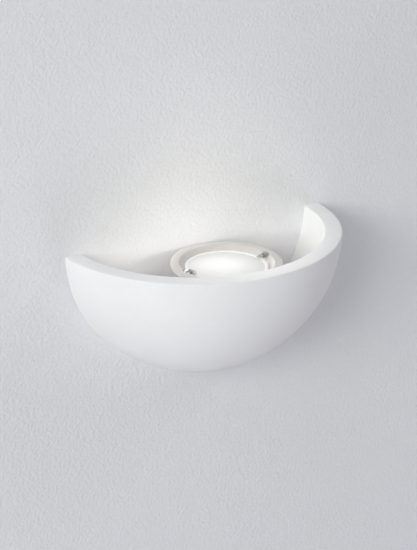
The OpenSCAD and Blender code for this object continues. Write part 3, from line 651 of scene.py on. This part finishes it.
def makeGasket():
    g = gasket
    under, over = g["low"] + g["thick"], g["top"] - g["thick"]
    bm = revolved([(g["lap"], g["low"]), (g["outer"], g["low"]), (g["outer"], g["top"]), (g["lap"], g["top"]),
                   (g["lap"], over), (g["glass"], over), (g["glass"], under), (g["lap"], under)],
                  [([0, 1, 2, 3, 4, 7], g["round"], 3)], 128)
    piece = toPiece("lensGasket", bm)
    for side in (-1, 1):
        cut = rod(g["screwGap"], g["low"] - 2, g["top"] + 2, (side * ring["screwX"], 0), 64)
        combine(piece, cut, "DIFFERENCE")
    toLamp(piece)
    return placed(piece, siliconeSkinPaintedGlow, "lens_gasket")


makeGasket()
print("ring, lens and gasket made")


washer = {"thick": 0.8, "round": 0.18}


def washerPart(outer, inner, place):
    thick = washer["thick"]
    bm = revolved([(inner, 0), (outer, 0), (outer, thick), (inner, thick)],
                  [([0, 1, 2, 3], washer["round"], 3)], 64)
    moved(bm, place)
    return bm


recess = {"length": 1.2, "width": 0.24, "taper": (0.45, 0.7, 1)}  # shares of the head's radius, and of itself


def crossCut(piece, head, depth, top):
    # a cross recess that narrows to its floor
    for turn in (0, 90):
        wing = cuboid((head * recess["length"], head * recess["width"], 2 * depth))
        bmesh.ops.scale(wing, vec=recess["taper"], verts=[v for v in wing.verts if v.co.z < 0])
        moved(wing, (0, 0, top), Matrix.Rotation(math.radians(turn), 4, "Z"))
        combine(piece, wing, "DIFFERENCE")
    return piece


def panScrew(name, look):
    # head up, standing on z = 0
    head, height, shank, length = look["head"], look["headHeight"], look["shank"], look["length"]
    dome = (head ** 2 + height ** 2) / (2 * height) + head / 2
    side = height - dome + math.sqrt(dome ** 2 - head ** 2)
    points = [(0, -length), (shank * 0.7, -length), (shank, shank * 0.3 - length), (shank, 0), (head, 0),
              (head, side)]
    for i in range(1, 12):
        x = head * (1 - i / 12)
        points.append((x, height - dome + math.sqrt(dome ** 2 - x ** 2)))
    points.append((0, height))
    bm = revolved(points, [([4], head * 0.06, 2), ([5], head * 0.1, 3)], 48)
    return crossCut(toPiece(name, bm), head, 0.55 * height, height)


def flatScrew(name, look):
    # countersunk head up, its top at z = 0
    head, shank, length = look["head"], look["shank"], look["length"]
    bm = revolved([(0, -length), (shank * 0.7, -length), (shank, shank * 0.3 - length), (shank, shank - head),
                   (head - 0.15, -0.15), (head - 0.15, 0), (0, 0)], steps=48)
    return crossCut(toPiece(name, bm), head * 0.85, 1.1, 0)


def copies(piece, places, lay=Matrix()):
    # the same screw at several places (mm), each turned its own way in its hole, as one mesh
    parts = []
    for i, place in enumerate(places):
        one = bmesh.new()
        one.from_mesh(piece.data)
        moved(one, place, lay @ Matrix.Rotation(math.radians(17 + 61 * i), 4, "Z"))
        parts.append(one)
    name = piece.name
    bpy.data.objects.remove(piece)
    return joined(name, parts)


headDown = Matrix.Rotation(math.pi, 4, "X")
headOut = Matrix.Rotation(math.radians(90), 4, "X")
fixings = {
    "ringScrews": {"node": "ring_screws", "head": 3.5, "headHeight": 2.19, "shank": 1.75, "length": 16,
                   "spots": pair(ring["screwX"], lamp["y"], 68.4)},
    "bowlScrews": {"node": "bowl_screws", "body": "bowl", "head": 4, "headHeight": 2.4, "shank": 2,
                   "length": 13.8, "spots": pair(*bowl["screws"], 67.2)},
    "boardScrews": {"node": "board_screws", "head": 3, "headHeight": 1.8, "shank": 1.5, "length": 5.1,
                    "spots": pair(20, lamp["y"], 47.9)},
    "blockFixings": {"node": "terminal_fixings", "head": 2.95, "headHeight": 1.8, "shank": 1.5, "length": 11,
                     "spots": [(-26, -20.4, 17.8), (-16, -20.4, 17.8)], "lay": headDown},
    "driverScrews": {"node": "driver_screws", "head": 2.85, "headHeight": 1.8, "shank": 1.5, "length": 4,
                     "spots": pair(33.5, -45.9, 24.8), "lay": headDown},
    "earthScrew": {"node": "earth_screw", "head": 3.8, "headHeight": 2.4, "shank": 2, "length": 2.8,
                   "spots": [(16, -2.8, 11.8)], "lay": headOut},
}
for name, look in fixings.items():
    screws = copies(panScrew(name, look), look["spots"], look.get("lay", Matrix()))
    placed(screws, platedSteel, look["node"], look.get("body", lampBody))

baseScrews = {"head": 4, "shank": 2, "length": 10,
              "spots": [(0, -25.4, 26.8), (18.91, -64.18, 26.8), (-18.91, -64.18, 26.8)]}
placed(copies(flatScrew("baseScrews", baseScrews), baseScrews["spots"], headDown),
       platedSteel, "housing_screws")

washers = {
    # node, body, outer and inner radius, spots
    "ringWashers": ("ring_washers", lampBody, 5.5, 1.9, pair(ring["screwX"], lamp["y"], ring["padTop"])),
    "bowlWashers": ("bowl_washers", "bowl", 4.4, 2.15, pair(*bowl["screws"], 66.4)),
}
for name, (node, body, outer, inner, spots) in washers.items():
    placed(joined(name, [washerPart(outer, inner, spot) for spot in spots]),
           platedSteel, node, body)
print("screws and washers made")


housing = {
    "body": 39.3, "top": 66.4, "seat": 61.8, "seatRadius": 36.4, "rimSeat": 61.0, "rimRadius": 33.65,
    "cup": 31.6, "floor": 45.8, "bodyRound": 0.6, "cupRound": 0.8, "mouthBevel": 0.3, "bossRound": 0.3,
    "finTop": 40.8, "foot": 28.8, "finTip": 34.3, "finThick": 1.6, "fins": 24, "core": 11, "finRound": 0.3,
    "finInset": 0.2, "sunk": 0.6,  # fins and bosses end this far inside the body
    "screwBoss": 3.5, "screwBossLow": 47.8, "screwHole": 1.8, "screwHoleDepth": 11, "screwGap": 2.35,
    "footBoss": 5, "footBossAt": 24, "footBossTurns": (90, -38, 218), "footHole": 2.05, "footHoleTop": 38.8,
    "tube": 4, "tubeHole": 2.4, "tubeAt": (7, 18.3), "boardHole": 1.55, "boardHoleAt": 20,
    "boardHoleDepth": 4,
    "lugAt": 53.9, "lugTurn": 35, "lugEnd": 6.5, "lugUnder": 62.4, "lugRound": 0.4, "lugRoot": 1,
    "lugSlot": 4.6, "slotReach": (13, 6), "rib": 3, "ribDrop": 9, "ribTip": 46.1, "ribSunk": 0.5,
}


def finBlock():
    # star-shaped block of cooling fins on a round core, narrower at the foot
    h = housing
    bm = bmesh.new()
    half = h["finThick"] / 2
    corners, step = [], 360 / h["fins"]
    for i in range(h["fins"]):
        middle = (i + 0.5) * step
        root = math.degrees(math.asin(half / h["core"]))
        tip = math.degrees(math.asin(half / h["finTip"]))
        for radius, turn in ((h["core"], -root), (h["finTip"], -tip), (h["finTip"], tip), (h["core"], root),
                             (h["core"], step / 2)):
            a = math.radians(middle + turn)
            corners.append((radius * math.cos(a), radius * math.sin(a), h["foot"]))
    top = raised(bm, corners, (0, 0, h["finTop"] - h["foot"] + h["sunk"]))
    spread = (h["body"] - h["finInset"]) / h["finTip"]
    beyond = 0.02  # m, between the core and the tips
    for v in top:
        if v.co.xy.length > beyond:
            v.co.x, v.co.y = v.co.x * spread, v.co.y * spread
    bmesh.ops.recalc_face_normals(bm, faces=bm.faces)
    outer = {e for e in bm.edges if all(v.co.xy.length > beyond for v in e.verts)}
    low = {e for e in bm.edges if all(v.co.z < (h["foot"] + 0.1) * mm for v in e.verts)}
    rounded(bm, list(outer | low), h["finRound"], clamp=True)
    return bm


def lugArm(side):
    # flat arm with a round end, and the rib under its root
    h = housing
    turn = Matrix.Rotation(math.radians(-h["lugTurn"] if side > 0 else 180 + h["lugTurn"]), 4, "Z")
    root, under = h["cup"] + h["lugRoot"], h["lugUnder"]
    edge = [(root, -h["lugEnd"], under)]
    for i in range(25):
        a = math.radians(-90 + 180 * i / 24)
        edge.append((h["lugAt"] + h["lugEnd"] * math.cos(a), h["lugEnd"] * math.sin(a), under))
    edge.append((root, h["lugEnd"], under))
    arm, rib = bmesh.new(), bmesh.new()
    raised(arm, edge, (0, 0, h["top"] - under))
    around = [e for e in arm.edges if level(e) and any(v.co.x > (root + 1) * mm for v in e.verts)]
    rounded(arm, around, h["lugRound"], 3)
    low, high, y = under - h["ribDrop"], under + h["ribSunk"], -h["rib"] / 2
    face = [(root, y, low), (h["body"], y, low), (h["ribTip"], y, high), (root, y, high)]
    raised(rib, face, (0, h["rib"], 0))
    for part in (arm, rib):
        moved(part, (0, 0, 0), turn)
    return arm, rib


def makeHousing():
    h = housing
    piece = toPiece("lampHousing", revolved(
        [(0, h["finTop"]), (h["body"], h["finTop"]), (h["body"], h["top"]), (0, h["top"])],
        [([1, 2], h["bodyRound"], 3)], 128))
    footTurns = [math.radians(a) for a in h["footBossTurns"]]
    footSpots = [(h["footBossAt"] * math.cos(a), h["footBossAt"] * math.sin(a)) for a in footTurns]
    combine(piece, finBlock(), "UNION")
    columns = [(h["footBoss"], spot) for spot in footSpots] + [(h["tube"], h["tubeAt"])]
    for radius, spot in columns:
        column = rod(radius, h["foot"], h["finTop"] + h["sunk"], spot, soft=h["bossRound"])
        combine(piece, column, "UNION")
    lugSpots = []
    for side in (-1, 1):
        a = math.radians(-h["lugTurn"])
        lugSpots.append((side * h["lugAt"] * math.cos(a), h["lugAt"] * math.sin(a)))
        for part in lugArm(side):
            combine(piece, part, "UNION")
        spot = (side * ring["screwX"], 0)
        combine(piece, rod(h["screwBoss"], h["screwBossLow"], h["top"], spot, soft=h["bossRound"]), "UNION")
    cuts = [rod(h["footHole"], h["foot"] - 1, h["footHoleTop"], spot, 32) for spot in footSpots]
    cuts.append(rod(h["tubeHole"], h["foot"] - 1, h["floor"] + 2, h["tubeAt"], 32))
    mouth = h["seatRadius"] + h["mouthBevel"]
    cavity = [(0, h["floor"]), (h["cup"], h["floor"]), (h["cup"], h["rimSeat"]),
              (h["rimRadius"], h["rimSeat"]), (h["rimRadius"], h["seat"]), (h["seatRadius"], h["seat"]),
              (h["seatRadius"], h["top"] - h["mouthBevel"]), (mouth, h["top"]), (mouth, h["top"] + 2),
              (0, h["top"] + 2)]
    cuts.append(revolved(cavity, [([1], h["cupRound"], 3)], 128))
    for side in (-1, 1):
        spot = (side * ring["screwX"], 0)
        cuts.append(rod(h["boardHole"], h["floor"] - h["boardHoleDepth"], h["floor"] + 1,
                        (side * h["boardHoleAt"], 0), 24))
        cuts.append(rod(h["screwHole"], h["seat"] - h["screwHoleDepth"], h["seat"] + 1, spot, 24))
        cuts.append(rod(h["screwGap"], h["seat"], h["top"] + 2, spot, 32))
    reach, tall = h["slotReach"]
    for spot in lugSpots:
        cuts.append(rod(h["lugSlot"] / 2, h["lugUnder"] - 1, h["top"] + 1, spot, 32))
        slot = cuboid((h["lugSlot"], reach, tall))
        moved(slot, (spot[0], spot[1] - reach / 2, (h["lugUnder"] + h["top"]) / 2))
        cuts.append(slot)
    for cut in cuts:
        combine(piece, cut, "DIFFERENCE")
    toLamp(piece)
    smooth(piece, 24)
    return placed(piece, castingPaint, "lamp_housing")


makeHousing()
print("lamp housing made")


board = {"radius": 24, "low": 46.3, "high": 47.9, "padRadius": 23, "padLow": 45.8, "hole": 1.8, "holeAt": 20,
         "wire": 2.4, "wireAt": (7, 18.3)}


def boardDisc(name, radius, low, high, paint, node):
    piece = toPiece(name, disc(radius, low, high, 128, soft=0.12))
    holes = [(board["hole"], (side * board["holeAt"], 0)) for side in (-1, 1)]
    for hole, spot in holes + [(board["wire"], board["wireAt"])]:
        combine(piece, rod(hole, low - 1, high + 1, spot, 32), "DIFFERENCE")
    toLamp(piece)
    return placed(piece, paint, node)


boardDisc("ledBoard", board["radius"], board["low"], board["high"], boardMask, "led_board")
boardDisc("thermalPad", board["padRadius"], board["padLow"], board["low"], padFoam,
          "thermal_pad")

leds = {"low": 47.9, "height": 0.7, "width": 2.8, "rows": ((5, 5), (12.5, 11)), "edge": 0.15,
        "window": 0.45, "lip": 0.08, "sunk": 0.1}


def makeLeds():
    # square white bodies, each with a shallow round window of phosphor; "window" marks it for the paint
    whole = bmesh.new()
    mark = whole.verts.layers.float.new("window")
    for radius, count in leds["rows"]:
        for i in range(count):
            turn = Matrix.Rotation(2 * math.pi * (i + 0.25) / count, 4, "Z")
            place = Matrix.Translation((0, lamp["y"] * mm, leds["low"] * mm)) @ turn @ Matrix.Translation(
                (radius * mm, 0, leds["height"] / 2 * mm))
            size = Matrix.Diagonal((leds["width"] * mm, leds["width"] * mm, leds["height"] * mm, 1))
            made = bmesh.ops.create_cube(whole, size=1, matrix=place @ size)
            sides = {f for v in made["verts"] for f in v.link_faces}
            top = max(sides, key=lambda f: f.calc_center_median().z)
            edges = {e for v in made["verts"] for e in v.link_edges}
            rounded(whole, [e for e in edges if e not in top.edges[:]], leds["edge"])
            top = max((f for f in whole.faces if (f.calc_center_median() - place.translation).length < 0.001),
                      key=lambda f: f.calc_center_median().z)
            bmesh.ops.inset_region(whole, faces=[top], thickness=leds["window"] * mm, depth=0)
            bmesh.ops.inset_region(whole, faces=[top], thickness=leds["lip"] * mm, depth=-leds["sunk"] * mm)
            for v in top.verts:
                v[mark] = 1
    piece = toPiece("ledEmitters", whole)
    return placed(piece, ledPaint, "led_emitters")


makeLeds()

reflector = {"low": 24.3, "high": 30, "foot": 46.1, "under": 61.0, "top": 61.8, "rim": 33.5, "thick": 0.8,
             "bow": 0.6, "steps": 28}


def makeReflector():
    r = reflector
    rise = r["under"] - r["foot"]
    curve = []
    for i in range(r["steps"] + 1):
        t = i / r["steps"]
        lift = r["bow"] * (1 - math.cos(math.pi / 2 * t)) + (1 - r["bow"]) * t
        curve.append((r["low"] + (r["high"] - r["low"]) * math.sin(math.pi / 2 * t), r["foot"] + rise * lift))
    back = [(x + r["thick"], z) for x, z in reversed(curve)]
    lip = [(r["high"], r["top"]), (r["rim"], r["top"]), (r["rim"], r["under"])]
    bm = revolved(curve + lip + back, steps=128)
    moved(bm, (0, lamp["y"], 0))
    return placed(toPiece("reflectorCup", bm), spunAluminium, "reflector")


makeReflector()
print("light source made")


cableBush = [(4, 0), (6, 0), (6, 2), (8, 2), (8, 3.5), (6, 3.5), (5, 7.5), (4, 7.5)]
bm = revolved(cableBush, [([3, 4, 6], 0.5, 3), ([5], 0.3, 2), ([7], 0.3, 2)], 96)
moved(bm, (0, 0, 0), headOut)
placed(toPiece("cableBush", bm), bushRubber, "cable_bush")

shelfBush = [(2.4, 25.6), (4.3, 25.6), (4.3, 26.8), (3.6, 26.8), (3.6, 28.8), (2.4, 28.8)]
bm = revolved(shelfBush, [([0, 1], 0.35, 3), ([5], 0.2, 2)], 64)
moved(bm, (7, -31.1, 0))
placed(toPiece("shelfBush", bm), bushRubber, "shelf_bush")

inserts = {"outer": 3, "bore": 2.05, "low": 52.4, "top": 62.4, "lead": 0.3, "round": 0.2}


def insertPart(spot):
    n = inserts
    bm = revolved([(n["bore"], n["low"]), (n["outer"], n["low"]), (n["outer"], n["top"]),
                   (n["bore"] + n["lead"], n["top"]), (n["bore"], n["top"] - n["lead"])],
                  [([1, 2], n["round"], 2)], 64)
    moved(bm, spot)
    return bm


placed(joined("bowlInserts", [insertPart(spot) for spot in pair(*bowl["screws"], 0)]),
       turnedBrass, "bowl_inserts", "bowl")
print("bushes and inserts made")


leads = {
    "radius": 1, "sides": 16, "rounding": 4,
    "liveLead": ("live_lead", "lead_brown", brownSheath,
                 [(-31, -23.9, 20.8), (-31, -30.5, 20.8), (-38.2, -30.5, 19.8), (-39.2, -48.9, 19.3),
                  (-26, -48.9, 19.3)]),
    "neutralLead": ("neutral_lead", "lead_blue", blueSheath,
                    [(-11, -23.9, 20.8), (-11, -33.1, 20.8), (-35.6, -33.1, 19.8), (-36.6, -42.9, 19.3),
                     (-26, -42.9, 19.3)]),
    "earthLead": ("earth_lead", "lead_green", earthSheath,
                  [(8, -3.6, 11.8), (0, -3.6, 11.8), (-13, -4.6, 17.8), (-21, -4.6, 20.8),
                   (-21, -16.9, 20.8)]),
    "plusLead": ("led_lead_plus", "lead_red", redSheath,
                 [(-1, -31, 49.6), (3, -31, 49.6), (7, -30, 49.4), (7, -30, 41.8), (7, -30, 25.8),
                  (8, -30, 22.8), (37.3, -30, 20.8), (37.3, -48.9, 19.3), (26, -48.9, 19.3)]),
    "minusLead": ("led_lead_minus", "lead_black", blackSheath,
                  [(-1, -33.6, 49.6), (3, -33.6, 49.6), (7, -32.2, 49.4), (7, -32.2, 41.8), (7, -32.2, 25.8),
                   (8, -32.2, 22.8), (34.7, -32.2, 20.8), (34.7, -42.9, 19.3), (26, -42.9, 19.3)]),
}


def cornersCut(path, times):
    # each corner cut a quarter of the way along its two sides, again and again
    for _ in range(times):
        cut = [path[0]]
        for a, b in zip(path, path[1:]):
            cut += [a.lerp(b, 0.25), a.lerp(b, 0.75)]
        path = cut + [path[-1]]
    return path


def makeLead(name):
    # tube along a rounded path; "around" runs round the sheath, for the earth lead's stripes
    node, slot, paint, corners = leads[name]
    path = cornersCut([Vector(corner) * mm for corner in corners], leads["rounding"])
    bm = bmesh.new()
    layer = bm.verts.layers.float.new("around")
    rings, side = [], Vector((0, 0, 1))
    for i, point in enumerate(path):
        ahead = (path[min(i + 1, len(path) - 1)] - path[max(i - 1, 0)]).normalized()
        if abs(ahead.dot(side)) > 0.9:
            side = ahead.orthogonal()
        side = (side - ahead * side.dot(ahead)).normalized()
        circle = []
        for k in range(leads["sides"]):
            a = 2 * math.pi * k / leads["sides"]
            out = side * math.cos(a) + ahead.cross(side) * math.sin(a)
            v = bm.verts.new(point + leads["radius"] * mm * out)
            v[layer] = math.cos(a)
            circle.append(v)
        rings.append(circle)
    for a, b in zip(rings, rings[1:]):
        for k in range(leads["sides"]):
            n = (k + 1) % leads["sides"]
            bm.faces.new((a[k], a[n], b[n], b[k]))
    bm.faces.new(rings[0][::-1])
    bm.faces.new(rings[-1])
    return placed(toPiece(name, bm), paint, node)


for name in ("liveLead", "neutralLead", "earthLead", "plusLead", "minusLead"):
    makeLead(name)
print("leads made")


def softened(node, name, slot, paint, width):
    # a copy of a CAD piece with its edges rounded
    bm = bmesh.new()
    bm.from_mesh(frame["nodes"][node].data)
    bmesh.ops.remove_doubles(bm, verts=bm.verts, dist=2e-6)
    bmesh.ops.dissolve_limit(bm, angle_limit=math.radians(0.6), verts=bm.verts, edges=bm.edges)
    steep = math.radians(28)
    edges = [e for e in bm.edges if len(e.link_faces) == 2 and e.calc_face_angle(0) > steep]
    rounded(bm, edges, width, clamp=True)
    return placed(toPiece(name, bm), paint, node)


def painted(node, paint):
    # a CAD node that keeps its own mesh
    part = frame["nodes"][node]
    part.data.materials.clear()
    part.data.materials.append(paint)
    smooth(part)


softPieces = [  # node, name, slot, paint, width of the rounded edge in mm
    ("wall_bracket", "wallBracket", "painted_steel", bracketPaint, 0.15),
    ("driver_case", "driverCase", "driver_plastic", driverShell, 0.25),
    ("driver_lid", "driverLid", "driver_plastic", driverShell, 0.15),
    ("terminal_block", "terminalBlock", "terminal_nylon", terminalNylon, 0.15),
    ("board_connector", "boardConnector", "connector", plugNylon, 0.15),
    ("earth_tag", "earthTag", "plated_steel", platedSteel, 0.08),
]
for look in softPieces:
    softened(*look)
for node, paint in (("terminal_contacts", turnedBrass), ("terminal_screws", platedSteel)):
    painted(node, paint)
print("CAD pieces finished")


stage = {
    "wallGap": 0.4, "wallColour": (0.793, 0.793, 0.809), "floorDrop": 2000, "floorColour": (0.70, 0.70, 0.70),
    "reach": 8.0,
}


def makeWallPaint():
    # rolled wall paint; from behind it is clear to the camera, so the back of the light can be seen
    paint = finish("wallPaint", {
        "colour": stage["wallColour"], "patch": 120, "uneven": 0.03, "rough": 0.8, "roughSpread": 0.05,
        "grain": 3.2, "tooth": 0.4, "bump": 1.0, "depth": 0.8, "rub": 0,
        "shader": {"Specular IOR Level": 0.25}})
    tree = paint.node_tree
    link = tree.links.new
    skin = tree.nodes["Principled BSDF"]
    end = tree.nodes["Material Output"]
    side = addNode(tree, "ShaderNodeNewGeometry")
    path = addNode(tree, "ShaderNodeLightPath")
    hidden = calc(tree, "MULTIPLY", side.outputs["Backfacing"], path.outputs["Is Camera Ray"])
    clear = addNode(tree, "ShaderNodeBsdfTransparent")
    mix = addNode(tree, "ShaderNodeMixShader")
    link(hidden, mix.inputs["Fac"])
    link(skin.outputs[0], mix.inputs[1])
    link(clear.outputs[0], mix.inputs[2])
    link(mix.outputs[0], end.inputs["Surface"])
    return paint


def sheetOf(name, size, matrix, paint):
    bm = bmesh.new()
    bmesh.ops.create_grid(bm, x_segments=1, y_segments=1, size=size)
    bmesh.ops.transform(bm, matrix=matrix, verts=bm.verts)
    mesh = bpy.data.meshes.new(name)
    bm.to_mesh(mesh)
    bm.free()
    panel = bpy.data.objects.new(name, mesh)
    panel.data.materials.append(paint)
    scene.collection.objects.link(panel)
    return panel


wall = sheetOf("wall", stage["reach"], Matrix.Translation((0, stage["wallGap"] * mm, 0))
               @ Matrix.Rotation(math.radians(90), 4, "X"), makeWallPaint())
floorPaint = finish("floorPaint", {
    "colour": stage["floorColour"], "patch": 200, "uneven": 0.03, "rough": 0.6, "grain": 4, "depth": 0.1,
    "rub": 0})
sheetOf("floor", stage["reach"], Matrix.Translation((0, 0, -stage["floorDrop"] * mm)), floorPaint)

lights = {
    "room": 0.215,
    "roomColour": (0.93, 0.97, 1.0),
    "aim": (0, -0.05, 0.03), "away": 3.0, "size": 1.2,
    # turn to the left and rise in degrees, watts, colour
    "soft": {"key": (57, 19, 54, (0.965, 1.0, 0.945)), "high": (60, 50, 9, (0.84, 0.80, 1.0)),
             "right": (-60, 40, 14, (0.985, 0.96, 1.0)), "lowLeft": (60, -30, 7.6, (0.85, 0.77, 1.0)),
             "lowRight": (-30, -30, 15.5, (0.92, 0.89, 1.0))},
    "back": {"from": (0.6, 2.6, 0.5), "aim": (0, 0, 0.02), "size": 1.6, "power": 25, "colour": (1, 1, 1)},
}
glows = {
    # the lamp's own light: small over the glass, larger over the bowl, one at each side of the ring
    "lampGlow": {"place": (-0.02, -0.078, 0.0765), "size": 0.006, "power": 0.049, "colour": (1, 0.972, 0.88)},
    "airGlow": {"place": (0, -0.09, 0.13), "size": 0.03, "power": 0.035, "colour": (1.0, 0.92, 0.8)},
    "leftGlow": {"place": (-0.072, -0.034, 0.054), "size": 0.014, "power": 0.007, "colour": (1, 0.96, 0.88)},
    "rightGlow": {"place": (0.068, -0.034, 0.054), "size": 0.014, "power": 0.0042, "colour": (1, 0.96, 0.88)},
}


def addSource(name, kind, look):
    data = bpy.data.lights.new(name, kind)
    data.energy = look["power"]
    data.color = look["colour"]
    source = bpy.data.objects.new(name, data)
    scene.collection.objects.link(source)
    return source


def addLight(name, look):
    source = addSource(name, "AREA", look)
    source.data.size = look["size"]
    place, aim = Vector(look["from"]), Vector(look["aim"])
    turn = (aim - place).to_track_quat("-Z", "Y").to_matrix().to_4x4()
    source.matrix_world = Matrix.Translation(place) @ turn
    return source


def addGlow(name, look):
    # lights all but the lens, its ring and gasket, and the ring's screws and washers
    source = addSource(name, "POINT", look)
    source.data.shadow_soft_size = look["size"]
    source.location = look["place"]
    source.visible_camera = False
    source.light_linking.receiver_collection = glowTakers


unlit = ("frostedLens", "clampRing", "lensGasket", "ringScrews", "ringWashers")
glowTakers = bpy.data.collections.new("glowTakers")
for piece in scene.collection.all_objects:
    if piece.type == "MESH" and piece.name not in unlit:
        glowTakers.objects.link(piece)
for name, (turn, rise, power, colour) in lights["soft"].items():
    turn, rise = math.radians(turn), math.radians(rise)
    away = Vector((-math.sin(turn) * math.cos(rise), -math.cos(turn) * math.cos(rise), math.sin(rise)))
    place = Vector(lights["aim"]) + lights["away"] * away
    addLight(name, {"from": place, "aim": lights["aim"], "size": lights["size"], "power": power,
                    "colour": colour})
for name, look in glows.items():
    addGlow(name, look)
# this one stands behind the wall, which doesn't stop it, and lights the lamp's back
backLight = addLight("backLight", lights["back"])
blockers = bpy.data.collections.new("backBlockers")
for piece in scene.collection.all_objects:
    if piece.type == "MESH" and piece is not wall:
        blockers.objects.link(piece)
backLight.light_linking.blocker_collection = blockers

world = bpy.data.worlds.new("room")
world.use_nodes = True
sky = world.node_tree.nodes["Background"]
sky.inputs["Color"].default_value = (*lights["roomColour"], 1)
sky.inputs["Strength"].default_value = lights["room"]
scene.world = world
scene.view_settings.view_transform = "Standard"
print("wall, floor and light set")
